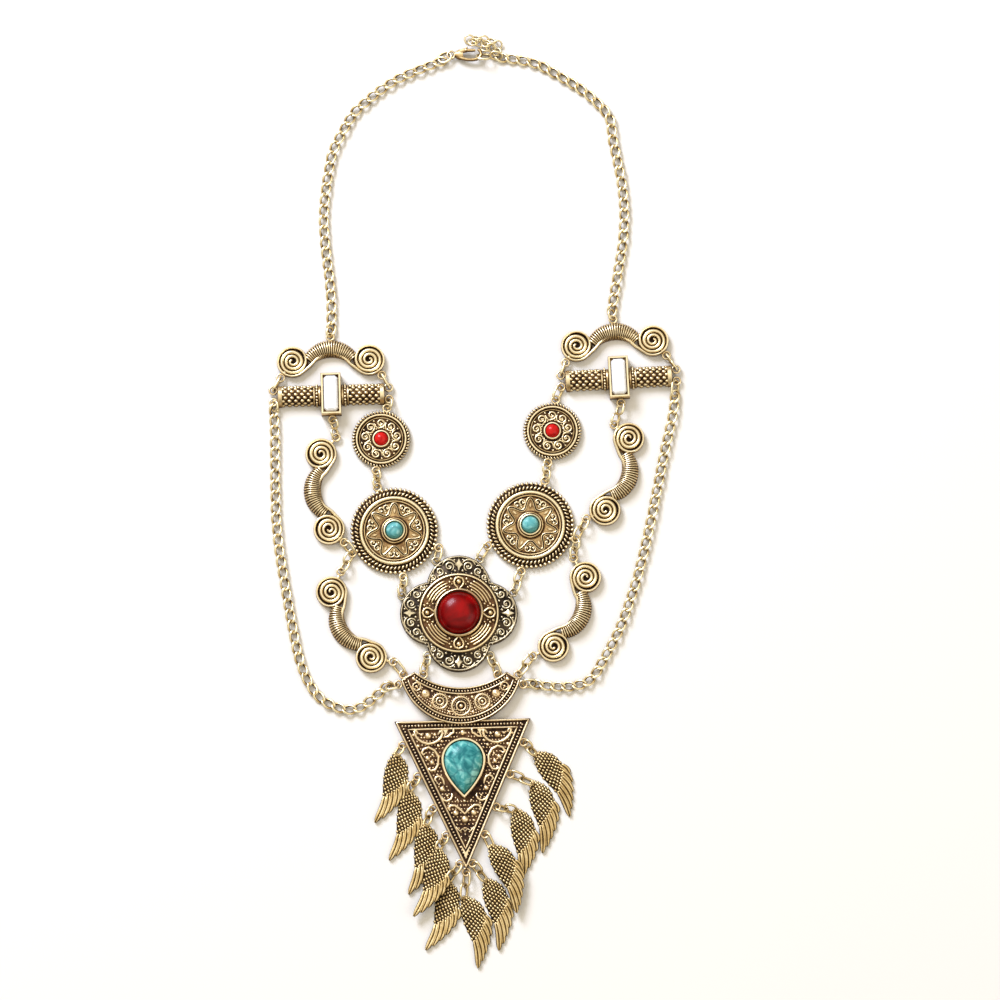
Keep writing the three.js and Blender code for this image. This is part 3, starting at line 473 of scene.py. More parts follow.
# A rod's stations are x, half width, height and how far it is rubbed. Bars have x, y, turn.
BAR_HALF = 20.3
BAR_ROD = (3.5, 4.3)
BAR_COLLARS = (
    ((BAR_HALF, 3.7, 4.7, 0.4), (20.0, 4.15, 5.15, 0.88), (18.7, 4.15, 5.15, 0.88),
     (18.4, 3.6, 4.5, 0.2)),
    ((4.0, 4.0, 5.0, 0.3), (4.5, 4.0, 5.0, 0.9), (4.75, 3.85, 4.85, 0.2), (6.05, 3.85, 4.85, 0.2),
     (6.3, 4.0, 5.0, 0.9), (6.65, 4.0, 5.0, 0.9), (6.8, 3.6, 4.5, 0.1)),
)
GRAIN_ROWS = 9
COLLAR_DOTS = 12
BARS = {"left": (-48.7, 83.9, 1.6), "right": (60.8, 90.4, 3.0)}
BAR_EYES = [(-22.0, 2.3), (-22.0, -2.2), (22.0, 2.3), (22.0, -2.2), (0.3, -9.5)]


def half_rod(casting, stations):
    rings, rubbed = [], []
    for x, half, height, worn in stations:
        turns = [math.pi * k / 16 for k in range(17)]
        rings.append([(x, half * math.cos(a), height * math.sin(a)) for a in turns])
        rubbed += [worn * (0.3 + 0.7 * math.sin(a)) for a in turns]
    casting.skin(rings, rubbed)


def rectangle(x, y):
    return [(x, -y), (x, y), (-x, y), (-x, -y)]


def bar_casting():
    casting = Casting()
    half_rod(casting, [(-18.2, *BAR_ROD, 0.12), (18.2, *BAR_ROD, 0.12)])
    for side in (-1, 1):
        for stations in BAR_COLLARS:
            half_rod(casting, [(side * x, *rest) for x, *rest in stations])
        rows, dots = [], []
        for k in range(GRAIN_ROWS):
            a = math.pi * (k + 0.5) / GRAIN_ROWS
            y, z = BAR_ROD[0] * math.cos(a), BAR_ROD[1] * math.sin(a)
            start = 7.5 if k % 2 else 8.5
            rows.append(([(side * start, y, z), (side * (start + 9.8), y, z)], False))
        casting.grains(rows, 1.96, (0.98, 0.72, 0.68), shine=0.88)
        for k in range(COLLAR_DOTS):
            a = math.pi * (k + 0.5) / COLLAR_DOTS
            dots.append((side * 5.4, 4.05 * math.cos(a), 5.05 * math.sin(a)))
        casting.grains([(dots, False)], 1.25, (0.5, 0.5, 0.5))
    outline, inner = rectangle(3.8, 7.9), rectangle(2.95, 7.1)
    rings = [lifted(outline, 0), lifted(outline, 5.5),
             lifted([(x * 0.95, y * 0.975) for x, y in outline], 5.8),
             lifted([(x * 1.04, y * 1.02) for x, y in inner], 5.8), lifted(inner, 5.4),
             lifted(inner, 3.6)]
    casting.skin(rings, [0.1] * 4 + [0.8] * 4 + [1.0] * 8 + [0.4] * 4 + [0.42] * 4)
    for x, y in BAR_EYES:
        casting.eye(x, y, toward=(0, y) if abs(x) > 1 else (0, 0))
    return casting


def clear_crystal():
    nodes, end = finish("clear_crystal", roughness=0.12, ior=1.5, coat_weight=0.5,
                        coat_roughness=0.03)
    place = nodes.add("ShaderNodeTexCoord", None, None, 3)
    # Painted glints: the crystal's brighter and greyer patches of colour stand in for light
    # flashing off its facets.
    painted_glint = nodes.add("ShaderNodeTexNoise", None, {"Vector": place, "Scale": 240.0, "Detail": 1.0})
    colour = nodes.add("ShaderNodeValToRGB", {"stops": (
        (0.3, (0.86, 0.88, 0.9)), (0.5, (0.97, 0.98, 0.99)), (0.7, (1.0, 1.0, 1.0)))},
        {"Fac": painted_glint})
    return end(base_color=colour, metallic=painted_glint * 0.1)


CRYSTAL = clear_crystal()
for side, (x, y, turn) in BARS.items():
    bar_casting().place(f"bar_{side}_cast", ANTIQUE, "antique_gold", [f"bar_{side}"], x, y, turn)
    eyes_at[f"bar_{side}"] = moved(BAR_EYES, x, y, turn)
    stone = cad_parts[f"crystal_{side}"]
    stone.data.materials.clear()
    stone.data.materials.append(CRYSTAL)


# ------------------------------------------------------------------ medallions with a stone
# Round castings with a roped edge. The small ones carry curls round a scarlet stone, the
# larger ones a seven pointed star line round a turquoise, and a second edge of balls.

# x and y, and the bearings of the eyes. The eyes stand off the edge by EYE_REACH.
SMALL_RADIUS = 11.1
TURQUOISE_RADIUS = 16.9
EYE_REACH = 1.15
SMALL_CURLS = 9
STAR_POINTS = 7
STAR_STEPS = 18 * STAR_POINTS
MEDALLIONS = {
    "small_medallion_left": (-29.6, 66.8, (80, -99)),
    "small_medallion_right": (35.5, 69.9, (84, -98)),
    "turquoise_medallion_left": (-24.5, 31.4, (111, -152, -79, -21)),
    "turquoise_medallion_right": (27.1, 33.6, (72, -17, -101, -154)),
}


def curl(casting, x, y, size, turn, hand, width, bottom, top, turns=1.35):
    """A wire curl that opens out from a small ball."""
    inner, opened, steps = size * 0.3, 360 * turns, 22
    wire = [polar(inner + (size - inner) * share, opened - opened * share)
            for share in (i / steps for i in range(steps + 1))]
    wire = moved([(px, py * hand) for px, py in wire], x, y, turn)
    casting.line(wire, width, bottom, top)
    casting.ball(x, y, size * 0.28, bottom, top - bottom, 8)


def small_medallion(eyes):
    casting = Casting()
    casting.turned([
        (0, 0, 0.2), (10.3, 0, 0.2), (10.5, 1.2, 0.0), (9.9, 1.3, 0.0), (9.75, 1.4, 0.0),
        (9.66, 2.4, 0.6), (9.5, 2.8, 1.0), (9.1, 2.8, 1.0), (8.9, 2.4, 0.5), (8.68, 1.8, 0.0),
        (8.4, 1.8, 0.0), (8.3, 2.2, 0.6), (8.1, 2.2, 0.6), (8.0, 1.7, 0.0), (7.7, 1.7, 0.12),
        (3.9, 1.75, 0.16), (3.5, 1.8, 0.0), (3.4, 2.6, 0.7), (3.2, 3.2, 1.0), (2.85, 3.25, 1.0),
        (2.7, 2.1, 0.1), (0, 2.1, 0.0)])
    casting.grains([(lifted(circle(10.45), 1.3), True)], 1.2, (0.38, 0.95, 1.0), slant=32)
    for i in range(SMALL_CURLS):
        angle = i * 360 / SMALL_CURLS + 12
        x, y = polar(6.1, angle)
        curl(casting, x, y, 1.78, angle + 150, 1, 0.7, 1.6, 2.5)
        casting.line([polar(r, angle + a) for r, a in ((4.1, 6), (4.5, 16), (5.4, 21), (6.6, 22))],
                     0.62, 1.6, 2.4)
        casting.ball(*polar(7.45, angle + 20), 0.5, 1.6, 0.8, 8)
        casting.ball(*polar(4.25, angle + 24), 0.42, 1.6, 0.7, 8)
    for point in eyes:
        casting.eye(*point)
    return casting


def turquoise_medallion(eyes):
    casting = Casting()
    casting.turned([
        (0, 0, 0.2), (16.0, 0, 0.2), (16.1, 1.2, 0.1), (15.7, 1.4, 0.0), (13.35, 1.6, 0.0),
        (13.25, 2.5, 0.6), (13.05, 3.0, 1.0), (12.8, 3.15, 1.0), (12.35, 3.15, 1.0),
        (12.1, 2.95, 0.9), (11.95, 2.5, 0.1), (11.7, 2.45, 0.0), (11.5, 2.75, 0.7),
        (11.2, 2.7, 0.7), (11.0, 2.2, 0.0), (10.7, 2.1, 0.15), (10.3, 2.1, 0.46), (5.8, 2.1, 0.5),
        (5.4, 2.1, 0.2), (5.1, 2.3, 0.0), (4.95, 2.9, 0.5), (4.7, 3.1, 0.8), (4.5, 3.1, 0.4),
        (4.4, 3.0, 0.05), (4.2, 3.1, 0.1), (4.0, 3.9, 0.9), (3.7, 4.0, 1.0), (3.45, 3.8, 0.7),
        (3.35, 2.8, 0.05), (0, 2.8, 0.0)])
    casting.grains([(lifted(circle(16.05), 1.3), True)], 1.78, (0.76, 0.76, 0.9))
    casting.grains([(lifted(circle(14.4), 1.7), True)], 1.5, (0.42, 1.15, 0.95), slant=-36)
    for width, top, worn in ((1.5, 2.55, 0.8), (0.8, 2.64, 0.0)):
        star = []
        for i in range(STAR_STEPS):
            angle = math.tau * i / STAR_STEPS
            wave = (0.5 + 0.5 * math.cos(STAR_POINTS * angle)) ** 1.6
            star.append(polar(6.3 + 4.1 * wave, 90 + math.degrees(angle)))
        casting.line(star, width, 1.9, top, closed=True, worn=worn)
    for i in range(STAR_POINTS):
        angle = 90 + (i + 0.5) * 360 / STAR_POINTS
        for side in (-1, 1):
            x, y = polar(9.3, angle + side * 7.5)
            casting.ball(x, y, 1.75, 1.9, 0.28, 12, worn=0.0)
            curl(casting, x, y, 1.35, angle + 180 + side * 30, side, 0.6, 2.0, 2.8, 1.1)
        casting.ball(*polar(7.6, angle), 0.5, 2.0, 0.75, 8)
        leaf = [polar(r, angle + 180 / STAR_POINTS + a) for r, a in
                ((8.8, 0), (7.6, 4), (6.5, 0), (7.6, -4))]
        casting.plate(leaf, 2.0, 2.5, worn=0.8, edge=0.3, chamfer=0.15)
    for point in eyes:
        casting.eye(*point)
    return casting


def stone_finish(name, stops, scale, vein=0.0, vein_colour=(0, 0, 0)):
    """A polished stone: cloudy colour, and a net of dark veins where it has them."""
    nodes, end = finish(name, roughness=0.26, coat_weight=0.1, coat_roughness=0.12, ior=1.22)
    place = nodes.add("ShaderNodeTexCoord", None, None, 3)
    cloud = nodes.add("ShaderNodeTexNoise", None, {
        "Vector": place, "Scale": scale, "Detail": 4.0, "Distortion": 0.8})
    colour = nodes.add("ShaderNodeValToRGB", {"stops": stops}, {"Fac": cloud})
    if vein:
        bent = nodes.add("ShaderNodeVectorMath", {"operation": "MULTIPLY_ADD"}, {
            0: nodes.add("ShaderNodeTexNoise", None, {"Vector": place, "Scale": 240.0}, 1),
            1: (0.0022, 0.0022, 0.0), 2: place})
        net = nodes.add("ShaderNodeTexVoronoi", {"feature": "DISTANCE_TO_EDGE"},
                        {"Vector": bent, "Scale": vein})
        mask = (1 - net * 12.0).clamped() * (cloud * 1.8 - 0.2).clamped()
        colour = nodes.add("ShaderNodeMix", {"data_type": "RGBA"}, {
            0: mask * 0.85, 6: colour, 7: (*vein_colour, 1.0)}, 2)
    return end(base_color=colour)


SCARLET = stone_finish("scarlet_resin", (
    (0.3, (0.4, 0.005, 0.005)), (0.65, (0.62, 0.016, 0.012))), 500.0)
TURQUOISE = stone_finish("turquoise", (
    (0.3, (0.07, 0.3, 0.31)), (0.5, (0.14, 0.44, 0.44)), (0.68, (0.3, 0.62, 0.6))), 420.0,
    190.0, (0.03, 0.15, 0.16))


def cabochon(radius, bottom, height):
    stone = Casting()
    profile = [(0, bottom, 1), (radius, bottom, 1)]
    for degrees in (12, 25, 38, 50, 62, 74, 83):
        a = math.radians(degrees)
        profile.append((radius * math.cos(a), bottom + height * math.sin(a), 1))
    stone.turned(profile + [(0, bottom + height, 1)], 56)
    return stone


for node, (x, y, bearings) in MEDALLIONS.items():
    small = node.startswith("small")
    eyes = [polar((SMALL_RADIUS if small else TURQUOISE_RADIUS) + EYE_REACH, a) for a in bearings]
    casting = small_medallion(eyes) if small else turquoise_medallion(eyes)
    casting.place(node + "_cast", ANTIQUE, "antique_gold", [node], x, y)
    eyes_at[node] = moved(eyes, x, y)
    side = node.rsplit("_", 1)[1]
    if small:
        cabochon(2.6, 2.3, 2.0).place(f"scarlet_stone_{side}", SCARLET, "red_stone",
                                      [f"small_red_stone_{side}"], x, y)
    else:
        cabochon(3.2, 2.9, 2.5).place(f"turquoise_cabochon_{side}", TURQUOISE, "turquoise",
                                      [f"turquoise_stone_{side}"], x, y)


# ------------------------------------------------------------- flower with the red cabochon
# A four lobed casting with scrollwork in its dark fields, and over it a coppery disc with
# ring and ball ornaments and grooved arcs, whose bezel holds the large red cabochon.

# Ornament in a lobe starts with its distance and its bearing off the lobe's middle line. Then
# curls have size and turn, brows radius, reach, steps, width and top, and studs radius.
LOBE_OFFSET = 10.2
LOBE_RADIUS = 12.1
FIELD = 2.0
FLOWER_CURLS = ((18.4, 11.5, 1.85, 205), (17.6, 24.5, 1.6, 150), (16.9, 35, 1.15, 120))
FLOWER_BROWS = ((18.4, 11.5, 2.6, -62, 78, 12, 0.7, 2.9),
                (17.6, 24.5, 2.35, -20, 110, 10, 0.6, 2.8))
FLOWER_STUDS = ((20.9, 18.5, 0.5), (16.0, 17.5, 0.62), (20.6, 4.6, 0.5), (19.4, 27, 0.42),
                (15.9, 29.5, 0.5), (16.4, 5, 0.6), (15.9, 40.5, 0.55), (17.2, 42.5, 0.4),
                (15.6, 10, 0.4))
FLOWER_LEAF = ((21.2, 0), (19.4, 0.9), (18.6, 1.7), (17.9, 0.7), (16.0, 0), (17.9, -0.7),
               (18.6, -1.7), (19.4, -0.9))
FLOWER_PLACE = (0.0, -FLOWER_DROP)


def quatrefoil(radius, steps=22):
    notch = (LOBE_OFFSET + math.sqrt(2 * radius ** 2 - LOBE_OFFSET ** 2)) / 2
    reach = math.degrees(math.atan2(notch, notch - LOBE_OFFSET))
    outline = []
    for lobe in range(4):
        side = arc(LOBE_OFFSET, 0, radius, -reach, reach, steps)[:-1]
        outline += moved(side, 0, 0, lobe * 90)
    return outline


def flower_lobes(eyes):
    casting = Casting()
    casting.plate(quatrefoil(LOBE_RADIUS), 0, 2.2, worn=0.14, edge=0.3)
    casting.line(quatrefoil(LOBE_RADIUS - 0.55), 0.6, 1.9, 2.9, closed=True, worn=0.85)
    for lobe in range(4):
        turn = lobe * 90
        for side in (-1, 1):
            for distance, bearing, size, start in FLOWER_CURLS:
                x, y = polar(distance, turn + side * bearing)
                curl(casting, x, y, size, turn + start * side, side, 0.68, FIELD, 2.85, 1.3)
            for distance, bearing, radius, start, stop, steps, width, top in FLOWER_BROWS:
                x, y = polar(distance, side * bearing)
                brow = arc(x, y, radius, side * start, side * stop, steps)
                casting.line(moved(brow, 0, 0, turn), width, FIELD, top, worn=0.9)
            for distance, bearing, radius in FLOWER_STUDS:
                x, y = polar(distance, turn + side * bearing)
                casting.ball(x, y, radius, FIELD, 0.95, 10)
        casting.plate(moved(FLOWER_LEAF, 0, 0, turn), FIELD, 3.3, worn=1.0, edge=0.8, chamfer=0.3)
    for point in eyes:
        casting.eye(*point)
    return casting


DISC_ARCS = ((13.3, 22), (12.2, 26), (11.1, 25), (10.1, 19))
DISC_DROP = ((-3.0, 0), (-2.0, 0.9), (-1.1, 1.6), (0, 1.85), (1.2, 1.4), (1.75, 0), (1.2, -1.4),
             (0, -1.85), (-1.1, -1.6), (-2.0, -0.9))
DISC_STUDS = ((13.4, 12.5, 0.62), (12.4, 16.5, 0.55), (10.4, 19.5, 0.5), (11.3, 13.5, 0.4))


def flower_disc():
    casting = Casting()
    casting.turned([
        (0, 1.6, 0.2), (15.0, 1.6, 0.2), (15.2, 3.4, 0.4), (15.1, 3.75, 0.9), (14.9, 3.95, 1.0),
        (14.55, 3.95, 1.0), (14.35, 3.4, 0.1), (14.1, 3.2, 0.1), (13.9, 3.2, 0.16),
        (9.8, 3.4, 0.16), (9.35, 3.7, 0.0), (9.25, 4.8, 0.6), (9.0, 5.3, 1.0), (8.7, 5.4, 1.0),
        (8.5, 5.2, 0.7), (8.4, 3.9, 0.05), (0, 3.9, 0.0)], 128)
    for i in range(4):
        middle = i * 90 + 45
        for radius, reach in DISC_ARCS:
            casting.line(arc(0, 0, radius, middle - reach, middle + reach, 18), 0.68, 2.9, 4.1)
        x, y = polar(12.0, i * 90)
        casting.ball(x, y, 2.3, 3.0, 0.4, 16, worn=0.0)
        casting.line(moved(DISC_DROP, x, y, i * 90), 0.85, 3.1, 4.5, closed=True)
        casting.ball(x, y, 1.0, 3.2, 1.6)
        for side in (-1, 1):
            for distance, bearing, radius in DISC_STUDS:
                casting.ball(*polar(distance, i * 90 + side * bearing), radius, 3.2, 1.0, 10)
    return casting


FIELD_GOLD = antique_gold("field_gold", (0.016, 0.011, 0.008), (0.13, 0.09, 0.055),
                          (0.38, 0.3, 0.18), (0.8, 0.71, 0.5))
WARM_GOLD = antique_gold("warm_gold", (0.024, 0.009, 0.005), (0.23, 0.115, 0.045),
                         (0.64, 0.44, 0.19), (0.96, 0.8, 0.5))
flower_eyes = []
for across, up, bearing in ((-1, 0, 149), (0, 1, 131), (0, 1, 54), (1, 0, 38), (0, -1, -154),
                            (0, -1, -26)):
    x, y = polar(LOBE_RADIUS + EYE_REACH, bearing)
    flower_eyes.append((across * LOBE_OFFSET + x, up * LOBE_OFFSET + y))
flower_lobes(flower_eyes).place("flower_lobes", FIELD_GOLD, "dark_gold", ["flower_medallion"],
                                *FLOWER_PLACE)
flower_disc().place("flower_disc", WARM_GOLD, "dark_gold", [], *FLOWER_PLACE)
eyes_at["flower"] = moved(flower_eyes, *FLOWER_PLACE)
CHERRY = stone_finish("cherry_resin", (
    (0.36, (0.06, 0.0002, 0.0006)), (0.64, (0.3, 0.001, 0.002))), 95.0)
cabochon(8.1, 3.7, 4.6).place("cherry_cabochon", CHERRY, "red_stone", ["red_cabochon"],
                              *FLOWER_PLACE)


# ------------------------------------------------------------------- crescent and triangle
# One casting: a crescent with beaded channels and rosettes is soldered over the top of a
# long triangle, whose beaded border frames scrollwork round a bezel with a pear turquoise.

# The crescent lies between two arcs. The outer one stops a cut below its own middle, and the
# inner one reaches this many degrees to a side. The triangle is drawn down from the middle of
# its top edge, and so is the pear, whose round end has its middle at y.
CRESCENT = {"x": 0.7, "outer_y": -19.5, "outer": 23.4, "cut": 6.6,
            "inner_y": -1.0, "inner": 27.9, "reach": 38.6}
TRIANGLE = {"half": 25.7, "height": 57.3}
TRIANGLE_PLACE = (1.4, -41.1, 1.5)
PEAR = {"y": -15.3, "radius": 7.2, "point": 13.2}
CRESCENT_EYES = [(-21.0, -23.7), (-22.9, -27.5), (-13.4, -23.7), (14.8, -23.7), (22.4, -23.7),
                 (24.3, -27.5)]


def crescent_outline(inset):
    half = math.degrees(math.acos(CRESCENT["cut"] / CRESCENT["outer"])) - inset * 0.5
    outer = arc(CRESCENT["x"], CRESCENT["outer_y"], CRESCENT["outer"] - inset,
                -90 - half, -90 + half, 48)
    half = CRESCENT["reach"] - inset * 1.5
    inner = arc(CRESCENT["x"], CRESCENT["inner_y"], CRESCENT["inner"] + inset,
                -90 + half, -90 - half, 40)
    return outer, inner


SMALL_ROSETTES = ((-15.9, -28.6), (17.3, -28.4))
CRESCENT_BALLS = ((-12.5, -31.3), (14.1, -31.1))
ROSETTES = ((-7.1, -34.2, 2.75), (0.9, -36.0, 3.5), (8.9, -34.2, 2.75))
CRESCENT_STUDS = ((-10.0, -30.3, 0.6), (-13.9, -28.9, 0.45), (-3.4, -32.5, 0.7), (5.1, -32.5, 0.7),
                  (11.8, -30.1, 0.6), (15.5, -28.7, 0.45), (-3.6, -38.2, 0.7), (5.4, -38.2, 0.7),
                  (-10.6, -36.0, 0.6), (12.5, -35.8, 0.6), (-15.0, -32.2, 0.6), (16.7, -32.0, 0.6),
                  (-18.0, -28.6, 0.45), (19.4, -28.3, 0.45), (-10.2, -33.2, 0.4),
                  (11.9, -33.1, 0.4))


def crescent_casting():
    casting = Casting()
    outer, inner = crescent_outline(0)
    casting.plate(outer + inner, 0.6, 3.0, worn=0.16, edge=0.4)
    for inset, width, top, worn in ((1.4, 1.7, 3.1, 0.0), (0.35, 0.7, 3.95, 1.0),
                                    (2.45, 0.7, 3.95, 1.0)):
        outer, inner = crescent_outline(inset)
        casting.line(outer, width, 2.7, top, worn=worn)
        casting.line(inner, width, 2.7, top, worn=worn)
    outer, inner = crescent_outline(0.45)
    for a, b in ((outer[0], inner[-1]), (inner[0], outer[-1])):
        casting.line([between(a, b, share) for share in (0, 0.5, 1)], 0.8, 2.7, 3.9)
        x = a[0] * 0.45 + b[0] * 0.45 + CRESCENT["x"] * 0.1
        casting.ball(x, (a[1] + b[1]) / 2 - 0.9, 0.9, 2.8, 1.0, 12)
    outer, inner = crescent_outline(1.4)
    casting.grains([(lifted(outer, 3.0), False), (lifted(inner, 3.0), False)], 1.12,
                   (0.36, 0.52, 0.7))
    for inset in (3.5, 4.5, 5.5):
        outer, inner = crescent_outline(inset)
        casting.grains([(lifted(outer[3:-3], 2.95), False)], 0.98, (0.38, 0.38, 0.4), shine=0.9)
    for x, y in SMALL_ROSETTES:
        casting.ball(x, y, 1.7, 2.8, 0.3, 20, worn=0.0)
        casting.line(circle(1.5, x, y, 20), 0.6, 2.8, 3.8, closed=True)
        casting.ball(x, y, 0.7, 2.8, 1.2, 10)
    for x, y in CRESCENT_BALLS:
        casting.ball(x, y, 1.9, 2.8, 1.1, 18, worn=0.9)
        casting.ball(x, y, 0.8, 3.5, 0.55, 10)
    for x, y, radius in ROSETTES:
        casting.ball(x, y, radius + 0.3, 2.8, 0.35, 24, worn=0.0)
        casting.line(circle(radius, x, y, 36), 0.85, 2.8, 3.8, closed=True)
        casting.grains([(lifted(circle(radius * 0.76, x, y, 30), 3.1), True)], 0.78,
                       (0.25, 0.25, 0.5))
        casting.line(circle(radius * 0.5, x, y, 24), 0.7, 2.8, 3.85, closed=True)
        casting.ball(x, y, radius * 0.27, 2.8, 1.3, 12)
        casting.grains([(lifted(circle(radius + 0.62, x, y, 30), 2.95), True)], 1.1,
                       (0.34, 0.34, 0.4), shine=0.8)
    for x, y, radius in CRESCENT_STUDS:
        casting.ball(x, y, radius, 2.85, 0.65, 8, worn=0.9)
    for point in CRESCENT_EYES:
        casting.eye(*point)
    return casting


def triangle_outline(inset):
    half, height = TRIANGLE["half"], TRIANGLE["height"]
    slope = math.hypot(half, height)
    corner = inset * (slope + half) / height
    return [(-half + corner, -inset), (0, -height + inset * slope / half), (half - corner, -inset)]


def filled(corners, step=1.5):
    """The straight sides of an outline with points along them."""
    points = []
    for (ax, ay), (bx, by) in zip(corners, corners[1:] + corners[:1]):
        count = max(2, round(math.hypot(bx - ax, by - ay) / step))
        points += [(ax + (bx - ax) * i / count, ay + (by - ay) * i / count) for i in range(count)]
    return points


def pear_outline(grow, steps=26):
    r, y = PEAR["radius"] + grow, PEAR["y"]
    tip = y - PEAR["point"] - grow * 1.4
    points = arc(0, y, r, 0, 180, steps)

    def bezier(a, b, c, d):
        return [tuple((1 - t) ** 3 * a[k] + 3 * t * (1 - t) ** 2 * b[k]
                      + 3 * t * t * (1 - t) * c[k] + t ** 3 * d[k] for k in (0, 1))
                for t in (i / steps for i in range(1, steps + 1))]

    points += bezier((-r, y), (-r, y - r * 0.75), (-r * 0.35, tip + r * 0.35), (0, tip))
    return points + bezier((0, tip), (r * 0.35, tip + r * 0.35), (r, y - r * 0.75), (r, y))[:-1]


# Five eyes down each side, at these shares of the height, and one under the point.
EDGE_REACH = 1.1
TRIANGLE_EYES = []
for side in (-1, 1):
    for share in (0.15, 0.36, 0.575, 0.755, 0.945):
        half, height = TRIANGLE["half"], TRIANGLE["height"]
        slope = math.hypot(half, height)
        TRIANGLE_EYES.append((side * half * (1 - share) + side * EDGE_REACH * height / slope,
                              -height * share - EDGE_REACH * half / slope))
TRIANGLE_EYES.append((0, -TRIANGLE["height"] - 0.6))


# The triangle's ornament stands on its ground. One half is given, and the other mirrors it.
# Wires have their points, width and top, and studs x, y, radius, height and sides.
GROUND = 1.7
STIPPLE_ROWS = 31
TRIANGLE_WIRES = (
    (((9.4, -5.4), (8.6, -4.4), (7.8, -3.9), (7.7, -5.0), (8.1, -6.4), (9.4, -7.8), (11.2, -8.7),
      (13.2, -8.9), (15.2, -8.3), (17.0, -7.0), (18.0, -5.4), (18.3, -4.0), (17.5, -3.9),
      (16.7, -5.0)), 1.15, 2.9),
    (((4.4, -2.9), (3.4, -3.4), (3.6, -4.9), (4.6, -5.4), (5.6, -6.3), (7.4, -6.6)), 1.05, 2.8),
    (((14.3, -12.4), (15.1, -13.0), (15.7, -12.2), (15.0, -10.9), (13.1, -10.2), (10.8, -11.4),
      (9.4, -13.9), (9.6, -16.9), (10.8, -18.9), (12.3, -19.2), (13.2, -18.5), (12.5, -17.8)),
     1.12, 2.9),
    (((10.3, -23.4), (11.0, -22.6), (10.6, -21.7), (9.5, -21.3), (8.3, -21.9), (7.7, -23.2),
      (7.5, -24.5)), 1.05, 2.85),
    (((9.0, -28.6), (8.0, -30.4), (6.6, -30.9), (5.2, -30.2), (4.5, -28.8), (4.9, -27.9)),
     1.0, 2.8),
    (((5.6, -34.6), (6.1, -33.6), (5.3, -32.6), (3.7, -32.6), (2.0, -33.8), (0.9, -35.0),
      (0.0, -35.9)), 1.1, 2.9),
    (((0.0, -42.4), (1.0, -41.5), (2.0, -42.4), (3.0, -41.4), (3.3, -40.6)), 0.7, 2.65),
)
TRIANGLE_LEAF = ((5.4, -3.5), (7.6, -3.5), (6.9, -4.9), (7.4, -7.2), (6.0, -5.2))
TRIANGLE_STUDS = (
    (13.1, -5.8, 1.4, 1.3, 14), (10.6, -5.4, 0.7, 0.9, 10), (15.6, -5.3, 0.7, 0.9, 10),
    (13.5, -14.3, 1.1, 1.2, 12), (11.9, -16.0, 1.0, 1.1, 12), (11.6, -13.1, 0.6, 0.9, 10),
    (8.0, -8.0, 0.7, 0.9, 8), (9.3, -9.7, 0.75, 0.9, 8), (17.0, -9.6, 0.8, 0.9, 8),
    (10.0, -20.7, 0.55, 0.9, 8), (18.6, -5.4, 0.7, 0.9, 8), (7.6, -10.6, 0.5, 0.9, 8),
    (5.9, -31.8, 0.5, 0.9, 8), (12.6, -21.4, 0.5, 0.9, 8), (8.3, -26.2, 1.15, 1.25, 12),
    (9.4, -24.4, 0.55, 0.9, 8), (6.4, -28.8, 0.6, 0.9, 8), (2.6, -30.6, 0.55, 0.8, 8),
    (3.4, -35.5, 1.3, 1.3, 12), (3.2, -38.3, 0.55, 0.8, 8), (1.5, -44.5, 0.42, 0.7, 8),
)
MIDDLE_STUDS = ((-4.9, 1.2, 1.3), (-37.9, 1.55, 1.3), (-30.9, 0.7, 0.8), (-43.7, 0.42, 0.8),
                (-46.0, 0.45, 0.8))
TRIANGLE_TIP = ((-1.9, -47.8), (0, -53.2), (1.9, -47.8), (0, -50.4))


def triangle_casting():
    casting = Casting()
    casting.plate(triangle_outline(0), 0, 1.9, worn=0.12, edge=0.3)
    casting.line(filled(triangle_outline(1.9)), 2.2, 1.6, 2.0, closed=True, worn=0.0)
    casting.line(filled(triangle_outline(0.5)), 0.85, 1.6, 2.8, closed=True)
    casting.line(filled(triangle_outline(3.3)), 0.75, GROUND, 2.8, closed=True)
    casting.grains([(lifted(filled(triangle_outline(1.9)), 1.9), True)], 1.25, (0.44, 0.5, 0.7))
    stipple = []
    for k in range(STIPPLE_ROWS):
        y = -5.0 - 1.45 * k
        reach = TRIANGLE["half"] * (1 + y / TRIANGLE["height"]) - 4.9
        below = (PEAR["y"] - y) / (PEAR["point"] + 2.2)
        gap = 9.0 * (max(1 - below ** 1.7, 0) if below > 0 else max(1 - below ** 2 * 2.9, 0)) ** 0.5
        if reach - gap > 1.2:
            stipple += [([(side * (gap + 0.3 * (k % 2)), y, 1.85), (side * reach, y, 1.85)], False)
                        for side in (-1, 1)]
    casting.grains(stipple, 1.1, (0.42, 0.42, 0.45), shine=0.85)
    for side in (-1, 1):
        for points, width, top in TRIANGLE_WIRES:
            casting.line([(side * x, y) for x, y in points], width, GROUND, top)
        casting.plate([(side * x, y) for x, y in TRIANGLE_LEAF[::-side]], GROUND, 2.6,
                      worn=1.0, edge=0.6, chamfer=0.25)
        for x, y, radius, height, sides in TRIANGLE_STUDS:
            casting.ball(side * x, y, radius, GROUND, height, sides)
    for y, radius, height in MIDDLE_STUDS:
        casting.ball(0, y, radius, GROUND, height, 12)
    casting.plate(TRIANGLE_TIP, 1.6, 2.6, worn=1.0, edge=0.8, chamfer=0.2)
    rings, rubbed = [], []
    for grow, height, worn in ((0.25, GROUND, 0.0), (0.25, 3.8, 0.7), (0.4, 4.0, 1.0),
                               (0.92, 4.0, 1.0), (1.15, 3.6, 0.8), (1.25, GROUND, 0.1)):
        rings.append(lifted(pear_outline(grow), height))
        rubbed += [worn] * len(rings[0])
    casting.skin(rings, rubbed, closed=True)
    for point in TRIANGLE_EYES:
        casting.eye(*point)
    return casting


